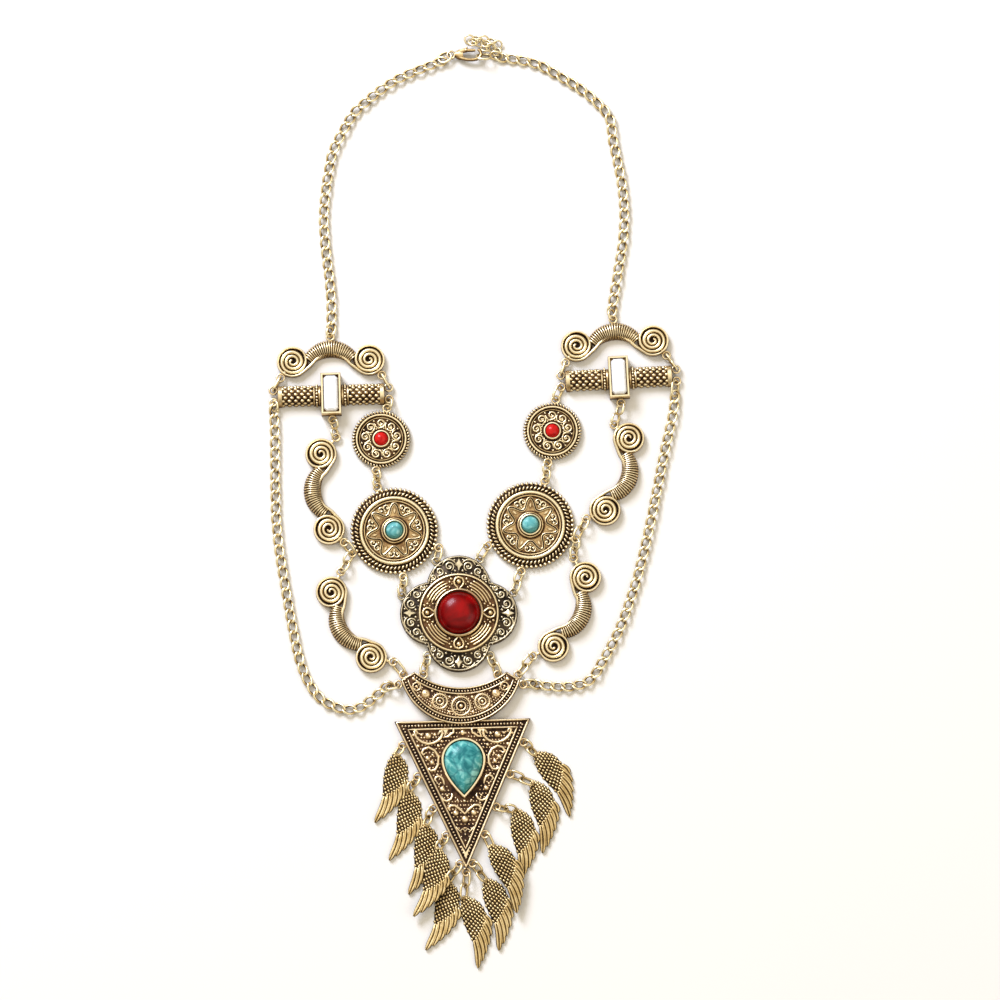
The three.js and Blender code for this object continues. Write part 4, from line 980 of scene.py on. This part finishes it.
PENDANT_GOLD = antique_gold("pendant_gold", (0.02, 0.009, 0.006), (0.18, 0.09, 0.04),
                            (0.62, 0.43, 0.21), (0.95, 0.79, 0.52))
crescent_casting().place("crescent_cast", PENDANT_GOLD, "dark_gold", ["crescent_and_triangle"])
triangle_casting().place("triangle_cast", PENDANT_GOLD, "dark_gold", [], *TRIANGLE_PLACE)


def pear_stone():
    """A domed stone whose sections shrink towards the top of its dome."""
    stone = Casting()
    outline = pear_outline(-0.02)
    rings, summit = [], PEAR["y"] - 2
    for inset, height in ((0.0, 2.2), (0.0, 3.3), (0.04, 3.9), (0.12, 4.7), (0.24, 5.4),
                          (0.4, 6.0), (0.58, 6.4), (0.78, 6.62), (0.93, 6.7)):
        rings.append([(x * (1 - inset), summit + (y - summit) * (1 - inset), height)
                      for x, y in outline])
    stone.skin(rings, [1.0] * (len(rings) * len(outline)))
    return stone


PEAR_BLUE = stone_finish("veined_turquoise", (
    (0.34, (0.014, 0.15, 0.16)), (0.5, (0.07, 0.34, 0.33)), (0.64, (0.3, 0.66, 0.6))), 240.0,
    150.0, (0.012, 0.11, 0.14))
pear_stone().place("pear_turquoise", PEAR_BLUE, "turquoise", ["pear_stone"], *TRIANGLE_PLACE)


# ------------------------------------------------------------------------------------ wings
# Eleven castings from one mould: a shoulder of small scales that ends in a slanting edge,
# and long feathers below it. Each hangs on its own jump ring and takes that node with it.

# x and y of the top, turn, how far it is lifted over its neighbour, and its ring's lean.
WINGS = [
    (-23.9, -54.4, 0, 0, 1), (-18.9, -68.6, 1, 0, 1), (-12.9, -81.2, 4, 0, -1),
    (-7.9, -90.8, -3, 2.4, 1), (-4.2, -102.9, -1, 0, 1), (29.2, -54.2, 45, 0, 1),
    (28.2, -65.1, 24, 0, 1), (21.6, -75.6, 19, 0, -1), (12.2, -89.8, 38, 2.4, 1),
    (10.4, -102.2, 27, 0, 1), (2.1, -109, 28, 0, 1),
]
RING_WIRE = 0.46
RING_HALF_WIDTH = 1.8
RING_TILT = math.radians(40)
RING_OVERLAP = 0.6
TWO_RING_GAP = 6.4


def jump_ring(casting, a, b, lean=1, half_width=RING_HALF_WIDTH, tilt=RING_TILT):
    """A closed ring of wire that stands on the floor and crosses the eyes at a and b."""
    u = Vector((b[0] - a[0], b[1] - a[1], 0))
    half = u.length / 2
    u.normalize()
    v = Vector((-u.y, u.x, 0))
    w = v * (math.sin(tilt) * lean) + Vector((0, 0, math.cos(tilt)))
    height = FLOOR_GAP + RING_WIRE + half_width * math.cos(tilt)
    rise = height - EYE_HEIGHT
    drop = rise / (half_width * math.cos(tilt))
    centre = Vector(((a[0] + b[0]) / 2, (a[1] + b[1]) / 2, height))
    centre += v * (rise * math.tan(tilt) * lean)
    half_length = half + half_width * (1 - math.sqrt(1 - drop * drop))
    across = u.cross(w)
    rings, rubbed = [], []
    for i in range(32):
        c, s = math.cos(math.tau * i / 32), math.sin(math.tau * i / 32)
        reach = math.copysign(half_length - half_width, c) if abs(c) > 1e-6 else 0.0
        middle = centre + u * (reach + half_width * c) + w * (half_width * s)
        out = (w * s + u * c).normalized()
        ring = []
        for k in range(8):
            turn = math.tau * k / 8
            offset = out * math.cos(turn) + across * math.sin(turn)
            ring.append(middle + offset * RING_WIRE)
            rubbed.append(0.46 + 0.4 * offset.z + 0.18 * math.cos(turn))
        rings.append(ring)
    casting.skin(rings, rubbed, closed=True)


def ring_run(casting, stops, lean=1, **bend):
    """Rings from stop to stop that lean by turns, with two linked ones over a long gap."""
    ends = []
    for a, b in zip(stops, stops[1:]):
        gap = math.dist(a, b)
        if gap < TWO_RING_GAP:
            ends.append((a, b))
            continue
        ends.append((a, between(a, b, 0.5 + RING_OVERLAP / gap)))
        ends.append((between(a, b, 0.5 - RING_OVERLAP / gap), b))
    for i, (a, b) in enumerate(ends):
        jump_ring(casting, a, b, -lean if i % 2 else lean, **bend)


# The shoulder's two edges, and each feather's root, tip and top. A feather's width is given
# at even steps along it, and it has a vane on either side of its groove.
WING_LEFT = ((-0.9, 0.4), (-2.4, -1.6), (-3.3, -3.4), (-4.0, -5.6), (-4.5, -8.0), (-4.7, -12.0),
             (-4.8, -16.6))
WING_RIGHT = ((0.9, 0.4), (2.2, -0.6), (3.1, -1.5), (4.1, -3.0), (4.8, -4.8), (4.8, -7.4),
              (4.4, -10.6))
SCALE_ROWS = 12
SCALE_COLUMNS = 9
FEATHERS = (((3.8, -9.4), (3.8, -14.0), 1.35), ((2.4, -11.0), (2.2, -17.0), 1.5),
            ((0.8, -12.4), (-0.1, -19.7), 1.4), ((-0.8, -13.6), (-2.6, -22.0), 1.5),
            ((-2.4, -14.8), (-5.0, -24.0), 1.4), ((-3.9, -15.8), (-7.6, -25.6), 1.55))
FEATHER_WIDTHS = (1.9, 2.05, 2.2, 2.35, 2.45, 2.45, 2.35, 1.95, 1.1)
VANE_OFFSET = 0.24
VANE_WIDTH = 0.43


def along(points, share):
    """The point at a share of the length of a bent line."""
    lengths = [math.dist(a, b) for a, b in zip(points, points[1:])]
    left = share * sum(lengths)
    for a, b, length in zip(points, points[1:], lengths):
        if left <= length or b is points[-1]:
            return between(a, b, min(left / length, 1.0))
        left -= length


def wing_casting():
    casting = Casting()
    rings, rubbed, scales = [], [], []
    for r in range(SCALE_ROWS):
        share = r / (SCALE_ROWS - 1)
        left, right = along(WING_LEFT, share), along(WING_RIGHT, share)
        top = 1.2 + 0.45 * math.sin(math.pi * min(share + 0.15, 1.0))
        ring, row = [], []
        for k in range(SCALE_COLUMNS):
            t = k / (SCALE_COLUMNS - 1)
            ring.append((*between(left, right, t), top * (1 - (2 * t - 1) ** 4)))
            rubbed.append(0.0)
            t = 0.06 + 0.88 * t + (0.03 if r % 2 else -0.03)
            row.append((*between(left, right, t), top * (1 - (2 * t - 1) ** 4) - 0.1))
        rings.append(ring)
        scales.append((row, False))
    casting.skin(rings, rubbed)
    casting.grains(scales, 1.1, (0.53, 0.6, 0.45), shine=0.84)
    last = len(FEATHER_WIDTHS) - 1
    for root, tip, top in FEATHERS:
        shaft = []
        for share in (i / last for i in range(last + 1)):
            x, y = between(root, tip, share)
            shaft.append((x + 0.5 * math.sin(math.pi * share), y))
        casting.line(shaft, list(FEATHER_WIDTHS), 0, 0.95, worn=0.05)
        length = math.dist(root, tip)
        ux, uy = (tip[0] - root[0]) / length, (tip[1] - root[1]) / length
        for side in (-VANE_OFFSET, VANE_OFFSET):
            vane = [(x - uy * side * width, y + ux * side * width)
                    for (x, y), width in zip(shaft, FEATHER_WIDTHS)]
            casting.line(vane, [width * VANE_WIDTH for width in FEATHER_WIDTHS], 0.7, top,
                         worn=0.72)
    casting.line([(0.5, -0.4), (0.2, 1.0), (-0.5, 0.4)], 1.0, 0.4, 1.7)
    return casting


WING_GOLD = antique_gold("wing_gold", (0.03, 0.016, 0.006), (0.25, 0.15, 0.055),
                         (0.6, 0.43, 0.18), (0.92, 0.77, 0.45))
wing_shape = wing_casting()
ring_ends = moved(TRIANGLE_EYES, *TRIANGLE_PLACE)
for i, (x, y, turn, lift, lean) in enumerate(WINGS):
    wing = Casting()
    turned = moved([(px, py) for px, py, _ in wing_shape.points], x, y, turn)
    wing.add([(px, py, z + lift) for (px, py), (_, _, z) in zip(turned, wing_shape.points)],
             wing_shape.faces, wing_shape.rubbed)
    ring_run(wing, [ring_ends[i], (x, y)], lean)
    wing.place(f"wing_{i + 1}_cast", WING_GOLD, "bright_gold", [f"wing_{i + 1}"])


# ------------------------------------------------------------------------------- jump rings
# Rings of round wire, bent shut through the cast eyes. They lean one way or the other where
# they stand between two castings. Where the gap is too long for one ring, two are linked.

# The eyes or places that a run goes through, each eye by its casting and number, and its lean.
RING_RUNS = {
    "ring_arch_bar_outer_left": (("arch_scroll_left", 0), ("bar_left", 0), 0),
    "ring_arch_bar_inner_left": (("arch_scroll_left", 1), ("bar_left", 2), 0),
    "ring_bar_medallion_left": (("bar_left", 3), ("small_medallion_left", 0), 1),
    "rings_bar_scroll_left": (("bar_left", 4), (-47.2, 70.9), ("scroll_upper_left", 1), 1),
    "rings_scroll_side_left": (("scroll_upper_left", 0), ("turquoise_medallion_left", 1),
                               ("scroll_lower_left", 1), 1),
    "ring_medallions_left": (("small_medallion_left", 1), ("turquoise_medallion_left", 0), 1),
    "ring_turquoise_flower_outer_left": (("turquoise_medallion_left", 2), ("flower", 0), 1),
    "ring_turquoise_flower_inner_left": (("turquoise_medallion_left", 3), ("flower", 1), 1),
    "ring_scroll_crescent_left": (("scroll_lower_left", 0), ("crescent", 0), 1),
    "ring_flower_crescent_left": (("flower", 4), ("crescent", 2), 1),
    "ring_arch_bar_outer_right": (("arch_scroll_right", 1), ("bar_right", 2), 0),
    "ring_arch_bar_inner_right": (("arch_scroll_right", 0), ("bar_right", 0), 0),
    "ring_bar_medallion_right": (("bar_right", 1), ("small_medallion_right", 0), -1),
    "rings_bar_scroll_right": (("bar_right", 4), (60.5, 76.4), ("scroll_upper_right", 0), 1),
    "rings_scroll_side_right": (("scroll_upper_right", 1), ("turquoise_medallion_right", 1),
                                ("scroll_lower_right", 0), 1),
    "ring_medallions_right": (("small_medallion_right", 1), ("turquoise_medallion_right", 0), -1),
    "ring_turquoise_flower_outer_right": (("turquoise_medallion_right", 2), ("flower", 3), -1),
    "ring_turquoise_flower_inner_right": (("turquoise_medallion_right", 3), ("flower", 2), -1),
    "ring_scroll_crescent_right": (("scroll_lower_right", 1), ("crescent", 4), -1),
    "ring_flower_crescent_right": (("flower", 5), ("crescent", 3), -1),
}
eyes_at["crescent"] = CRESCENT_EYES
CHAIN_GOLD = antique_gold("chain_gold", (0.04, 0.02, 0.007), (0.3, 0.18, 0.06),
                          (0.78, 0.6, 0.28), (1.0, 0.9, 0.6))
for node, (*stops, lean) in RING_RUNS.items():
    rings = Casting()
    ring_run(rings, [eyes_at[stop[0]][stop[1]] if isinstance(stop[0], str) else stop
                     for stop in stops], lean, tilt=RING_TILT if lean else 0.0)
    rings.place(node + "_wire", CHAIN_GOLD, "bright_gold", [node])


# ----------------------------------------------------------------------------- curb chains
# Every link is an oval of round wire, twisted by nearly a quarter turn so that the links lie
# flat and overlap, and soldered shut. Two chains go up to the clasp and two drape at the sides.

# LINK_TWIST is for each millimetre of a link's length. LINK_LOOSE turns each link at random.
PITCH = 4.1
LINK_WIDTH = 4.15
LINK_WIRE = 0.49
LINK_TWIST = math.radians(15)
LINK_LOOSE = (0.24, 0.03, 0.09)
LINK_HEIGHT = 1.22
CHAINS = {
    "neck_chain_left": (
        (-7.4, 214.1), (-15, 211.1), (-22, 208.1), (-28.6, 204.1), (-34.7, 199.2), (-40.3, 193.8),
        (-45.2, 185.5), (-48.6, 178), (-50.2, 169.1), (-51.4, 160), (-51.7, 150.5), (-50.9, 140.1),
        (-49.4, 128.5), (-48.7, 118), (-48.7, 109.8)),
    "neck_chain_right": (
        (16.3, 215.7), (21.5, 215), (29.8, 213.1), (39, 208.1), (46.4, 203.4), (52.8, 198),
        (57.6, 191.8), (58.8, 183.5), (60.6, 174.9), (62.3, 165.5), (63.1, 155.5), (62.6, 144),
        (60.8, 132.4), (59.1, 122), (58.4, 116.9)),
    "drape_chain_left": (
        (-70.4, 78.0), (-70, 68), (-69.9, 58.7), (-69.7, 45.9), (-69.2, 34.2), (-67.9, 22.5),
        (-65.7, 9.5), (-63.2, -4.5), (-60.6, -16.7), (-57.3, -25.8), (-52.4, -32.6), (-46, -36.2),
        (-39.5, -37), (-33.6, -33.8), (-27.5, -28.4)),
    "drape_chain_right": (
        (82.2, 83.4), (81.7, 78), (80.3, 71.2), (77.6, 59), (75.1, 46.2), (72.4, 33.2), (69.4, 20),
        (66, 8), (61.2, -5.5), (55.4, -17), (49.8, -25.6), (43.5, -28), (36.5, -28.3),
        (29.3, -27.4)),
}
CLASP = (-1.9, 216.7)
CLASP_EYE = (CLASP[0] - 1.3, CLASP[1])
HELD_RING = (CLASP[0] + 8.8, CLASP[1] - 0.2)
HELD_RING_END = (HELD_RING[0] + 5, HELD_RING[1] - 0.1)


def link_tree():
    """Twisted oval links along a line, each turned to follow it and lying a little loose."""
    nodes, inputs, named, copies = repeat_tree(
        "curb_links", "Pitch",
        {"Pitch": "Float", "Half Length": "Float", "Half Width": "Float", "Wire": "Float",
         "Twist": "Float"},
        lambda nodes, inputs: nodes.add(
            "FunctionNodeRandomValue", {"data_type": "FLOAT_VECTOR"},
            {0: tuple(-angle for angle in LINK_LOOSE), 1: LINK_LOOSE, "Seed": 0}))
    oval = nodes.add("GeometryNodeCurvePrimitiveCircle", None, {"Resolution": 20, "Radius": 1.0})
    shape = nodes.add("ShaderNodeCombineXYZ", None, {
        "X": inputs["Half Length"], "Y": inputs["Half Width"], "Z": 1.0})
    oval = nodes.add("GeometryNodeTransform", None, {"Geometry": oval, "Scale": shape})
    place = nodes.add("GeometryNodeInputPosition")
    along = nodes.add("ShaderNodeSeparateXYZ", None, {"Vector": place})
    bent = nodes.add("ShaderNodeVectorRotate", {"rotation_type": "X_AXIS"},
                     {"Vector": place, "Angle": along * inputs["Twist"]})
    oval = nodes.add("GeometryNodeSetPosition", None, {"Geometry": oval, "Position": bent})
    section = nodes.add("GeometryNodeCurvePrimitiveCircle", None,
                        {"Resolution": 8, "Radius": inputs["Wire"]})
    link = nodes.add("GeometryNodeCurveToMesh", None, {"Curve": oval, "Profile Curve": section})
    height = nodes.add("ShaderNodeSeparateXYZ", None, {"Vector": place}, 2)
    ratio = nodes.add("ShaderNodeVectorMath", {"operation": "DIVIDE"}, {0: place, 1: shape})
    flat = nodes.add("ShaderNodeVectorMath", {"operation": "MULTIPLY"}, {0: ratio, 1: (1, 1, 0)})
    ratio = nodes.add("ShaderNodeVectorMath", {"operation": "LENGTH"}, {0: flat}, 1)
    # Painted shade: the wire is darker on the inner side of each link and lower down, where shade
    # falls, besides being paler on top.
    link = nodes.add("GeometryNodeStoreNamedAttribute", {"data_type": "FLOAT"}, {
        "Geometry": link, "Name": "rubbed", "Value": (height * 0.7 + ratio * 1.3 - 0.86).clamped()})
    end_tree(nodes, {**copies, "Instance": link}, inputs["Finish"])
    return nodes.tree, named


LINKS, LINK_INPUTS = link_tree()


def smoothed(points, steps=8):
    """A smooth line through the points."""
    line = []
    for i in range(len(points) - 1):
        a, b = points[max(i - 1, 0)], points[i]
        c, d = points[i + 1], points[min(i + 2, len(points) - 1)]
        for k in range(steps):
            t = k / steps
            line.append(tuple(0.5 * (2 * b[j] + (c[j] - a[j]) * t
                                     + (2 * a[j] - 5 * b[j] + 4 * c[j] - d[j]) * t * t
                                     + (3 * b[j] - a[j] - 3 * c[j] + d[j]) * t ** 3)
                              for j in (0, 1)))
    return line + [points[-1]]


def curb_chain(route):
    chain = Casting()
    chain.take(grown_on(LINKS, LINK_INPUTS, [(lifted(smoothed(route), LINK_HEIGHT), False)], {
        "Pitch": PITCH, "Half Length": (PITCH + LINK_WIRE * 2) / 2, "Wire": LINK_WIRE,
        "Half Width": LINK_WIDTH / 2 - LINK_WIRE, "Twist": LINK_TWIST, "Finish": CHAIN_GOLD}))
    return chain


for node, route in CHAINS.items():
    chain = curb_chain(route)
    if node == "neck_chain_left":
        jump_ring(chain, CLASP_EYE, route[0], 1, 2.1, math.radians(68))
        jump_ring(chain, eyes_at["arch_scroll_left"][2], route[-1])
    elif node == "neck_chain_right":
        jump_ring(chain, HELD_RING, HELD_RING_END, -1, 2.25, math.radians(36))
        jump_ring(chain, HELD_RING_END, route[0])
        jump_ring(chain, eyes_at["arch_scroll_right"][2], route[-1])
    elif node == "drape_chain_left":
        jump_ring(chain, eyes_at["bar_left"][1], route[0])
        jump_ring(chain, CRESCENT_EYES[1], route[-1])
    else:
        jump_ring(chain, eyes_at["bar_right"][3], route[0], -1)
        jump_ring(chain, CRESCENT_EYES[5], route[-1])
    chain.place(node + "_links", CHAIN_GOLD, "bright_gold", [node])


# -------------------------------------------------------------------- extender and clasp
# A short extender of thin round links lies bunched behind the clasp. The lobster clasp is a
# cast hook, whose lever turns on a rivet between two cheeks and is shut by a hidden spring.

EXTENDER_RADIUS = 1.72
EXTENDER_WIRE = 0.34
EXTENDER_FLOOR = 0.03
EXTENDER_LINKS = (  # x, y and height of the middle, and slope
    (14.2, 217.9, 1.5, -24), (14.6, 220.7, 1.2, 30), (12.2, 222.0, 1.1, -38),
    (9.4, 222.7, 1.0, 34), (6.5, 222.9, 1.1, -36), (3.8, 222.9, 0.9, 20), (5.4, 221.6, 2.2, -30),
    (7.9, 221.3, 2.5, 40), (10.3, 220.9, 2.4, -32), (12.2, 219.3, 2.6, 28), (10.0, 219.2, 2.0, -40),
)
extender = Casting()
for x, y, z, slope in EXTENDER_LINKS:
    tilt = math.radians(slope)
    rings, rubbed = [], []
    for i in range(28):
        c, s = math.cos(math.tau * i / 28), math.sin(math.tau * i / 28)
        ring = []
        for k in range(8):
            turn = math.tau * k / 8
            reach = EXTENDER_RADIUS + EXTENDER_WIRE * math.cos(turn)
            up = EXTENDER_WIRE * math.sin(turn)
            height = z + s * reach * math.sin(tilt) + up * math.cos(tilt)
            ring.append((x + c * reach, y + s * reach * math.cos(tilt) - up * math.sin(tilt),
                         max(height, EXTENDER_FLOOR)))
            rubbed.append(0.5 + 0.4 * math.sin(turn))
        rings.append(ring)
    extender.skin(rings, rubbed, closed=True)
extender.place("extender_links", CHAIN_GOLD, "bright_gold", ["extender_chain"])


def rounded_bar(casting, stations, bottom, top):
    """A smooth bar through (x, y, half width) stations."""
    rings, rubbed, count = [], [], len(stations)
    for i, (x, y, half) in enumerate(stations):
        (px, py, _), (nx, ny, _) = stations[max(i - 1, 0)], stations[min(i + 1, count - 1)]
        length = math.hypot(nx - px, ny - py)
        sx, sy = -(ny - py) / length, (nx - px) / length
        ring = []
        for k in range(12):
            turn = math.tau * k / 12
            across, up = half * math.cos(turn), (top - bottom) / 2 * math.sin(turn)
            ring.append((x + sx * across, y + sy * across, (top + bottom) / 2 + up))
            rubbed.append(0.14 + 0.5 * math.sin(turn) + 0.16 * math.cos(turn))
        rings.append(ring)
    casting.skin(rings, rubbed)


CLASP_BODY = ((0.1, 0, 0.7), (0.8, 0, 1.5), (1.8, 0, 2.0), (2.7, 0.05, 2.1), (3.3, 0.1, 1.8))
CLASP_CHEEK = ((2.2, 1.1, 0.7), (3.4, 1.45, 0.72), (4.5, 1.62, 0.66), (4.9, 1.66, 0.4))
CLASP_HOOK = ((1.9, -1.1, 0.6), (3.4, -1.65, 0.75), (5.2, -2.05, 0.62), (7.0, -2.1, 0.62),
              (8.6, -1.8, 0.62), (9.7, -1.1, 0.62), (10.3, 0.0, 0.62), (10.1, 1.0, 0.6),
              (9.4, 1.75, 0.55), (8.9, 2.0, 0.4))
LEVER_ARM = ((3.7, 1.55, 0.4), (4.3, 1.6, 0.75), (5.2, 1.6, 0.72), (6.6, 1.6, 0.66),
             (8.1, 1.65, 0.45))
LEVER_THUMB = ((4.3, 1.7, 0.5), (4.6, 2.4, 0.45), (4.8, 2.9, 0.3))
clasp = Casting()
rounded_bar(clasp, CLASP_BODY, 0.4, 3.3)
for bottom, top in ((1.12, 1.44), (3.06, 3.34)):
    rounded_bar(clasp, CLASP_CHEEK, bottom, top)
clasp.ball(4.3, 1.65, 0.4, 3.2, 0.25)
rounded_bar(clasp, CLASP_HOOK, 1.4, 3.1)
clasp.place("clasp_hook", ANTIQUE, "antique_gold", ["clasp_body"], *CLASP)
clasp_ring = Casting()
clasp_ring.eye(*CLASP_EYE)
clasp_ring.place("clasp_loop", ANTIQUE, "antique_gold", [])
lever = Casting()
rounded_bar(lever, LEVER_ARM, 1.52, 2.98)
rounded_bar(lever, LEVER_THUMB, 1.6, 2.9)
lever.place("clasp_lever_cast", ANTIQUE, "antique_gold", ["clasp_lever"], *CLASP,
            body="clasp_lever")


# ---------------------------------------------------------------------- surface and light
# A plain pale surface under soft studio light from the upper left, seen almost from above
# through a long lens.

bpy.context.scene.view_settings.view_transform = "Standard"
bpy.context.scene.view_settings.look = "None"


def plain_white():
    nodes, end = finish("white_card", roughness=0.7)
    place = nodes.add("ShaderNodeTexCoord", None, None, 3)
    cloud = nodes.add("ShaderNodeTexNoise", None, {"Vector": place, "Scale": 3.0})
    colour = nodes.add("ShaderNodeValToRGB", {"stops": (
        (0.0, (0.77, 0.75, 0.715)), (1.0, (0.79, 0.77, 0.735)))}, {"Fac": cloud})
    return end(base_color=colour)


card = bpy.data.meshes.new("surface")
card.from_pydata([(x, y, 0) for x, y in rectangle(3, 3)], [], [(0, 1, 2, 3)])
card.materials.append(plain_white())
surface = bpy.data.objects.new("surface", card)
bpy.context.scene.collection.objects.link(surface)

world = bpy.data.worlds.new("studio")
world.use_nodes = True
world.node_tree.nodes.clear()
sky = Nodes(world.node_tree)
upward = sky.add("ShaderNodeSeparateXYZ", None, {"Vector": sky.add("ShaderNodeTexCoord")}, 2)
glow = sky.add("ShaderNodeValToRGB", {"stops": (
    (0.0, (0.06, 0.05, 0.04)), (0.38, (0.13, 0.105, 0.07)), (0.74, (0.9, 0.81, 0.64)),
    (1.0, (1.06, 0.985, 0.835)))}, {"Fac": upward})
sky.add("ShaderNodeOutputWorld", None, {
    "Surface": sky.add("ShaderNodeBackground", None, {"Color": glow, "Strength": 1.05})})
bpy.context.scene.world = world


LIT_PLACE = Vector((0.0096, 0.0, 0.0))


def softbox(name, place, size, power, colour):
    lamp = bpy.data.lights.new(name, "AREA")
    lamp.color = colour
    lamp.shape, lamp.size, lamp.size_y, lamp.energy = "RECTANGLE", size[0], size[1], power
    box = bpy.data.objects.new(name, lamp)
    box.location = place
    box.rotation_euler = (LIT_PLACE - Vector(place)).to_track_quat("-Z", "Y").to_euler()
    bpy.context.scene.collection.objects.link(box)


softbox("key", (-0.85, 1.25, 1.15), (0.8, 0.8), 43, (0.95, 1.01, 1.2))
softbox("fill", (1.2, -0.5, 1.0), (1.0, 1.0), 4, (1.0, 0.98, 0.95))

# The view is aimed above the flower, and is FRAME_WIDTH metres wide at the surface.
FRAME_WIDTH = 0.380
DISTANCE = 3.0
ELEVATION = math.radians(80)
SENSOR = 36
target = MIDDLE + Vector((0.0156, 0.0436, 0))
lens = bpy.data.cameras.new("camera")
lens.sensor_width = SENSOR
lens.lens = SENSOR * DISTANCE / FRAME_WIDTH
lens.clip_end = 20
camera = bpy.data.objects.new("camera", lens)
camera.location = target + Vector((0, -math.cos(ELEVATION), math.sin(ELEVATION))) * DISTANCE
camera.rotation_euler = (math.pi / 2 - ELEVATION, 0, 0)
bpy.context.scene.collection.objects.link(camera)
bpy.context.scene.camera = camera
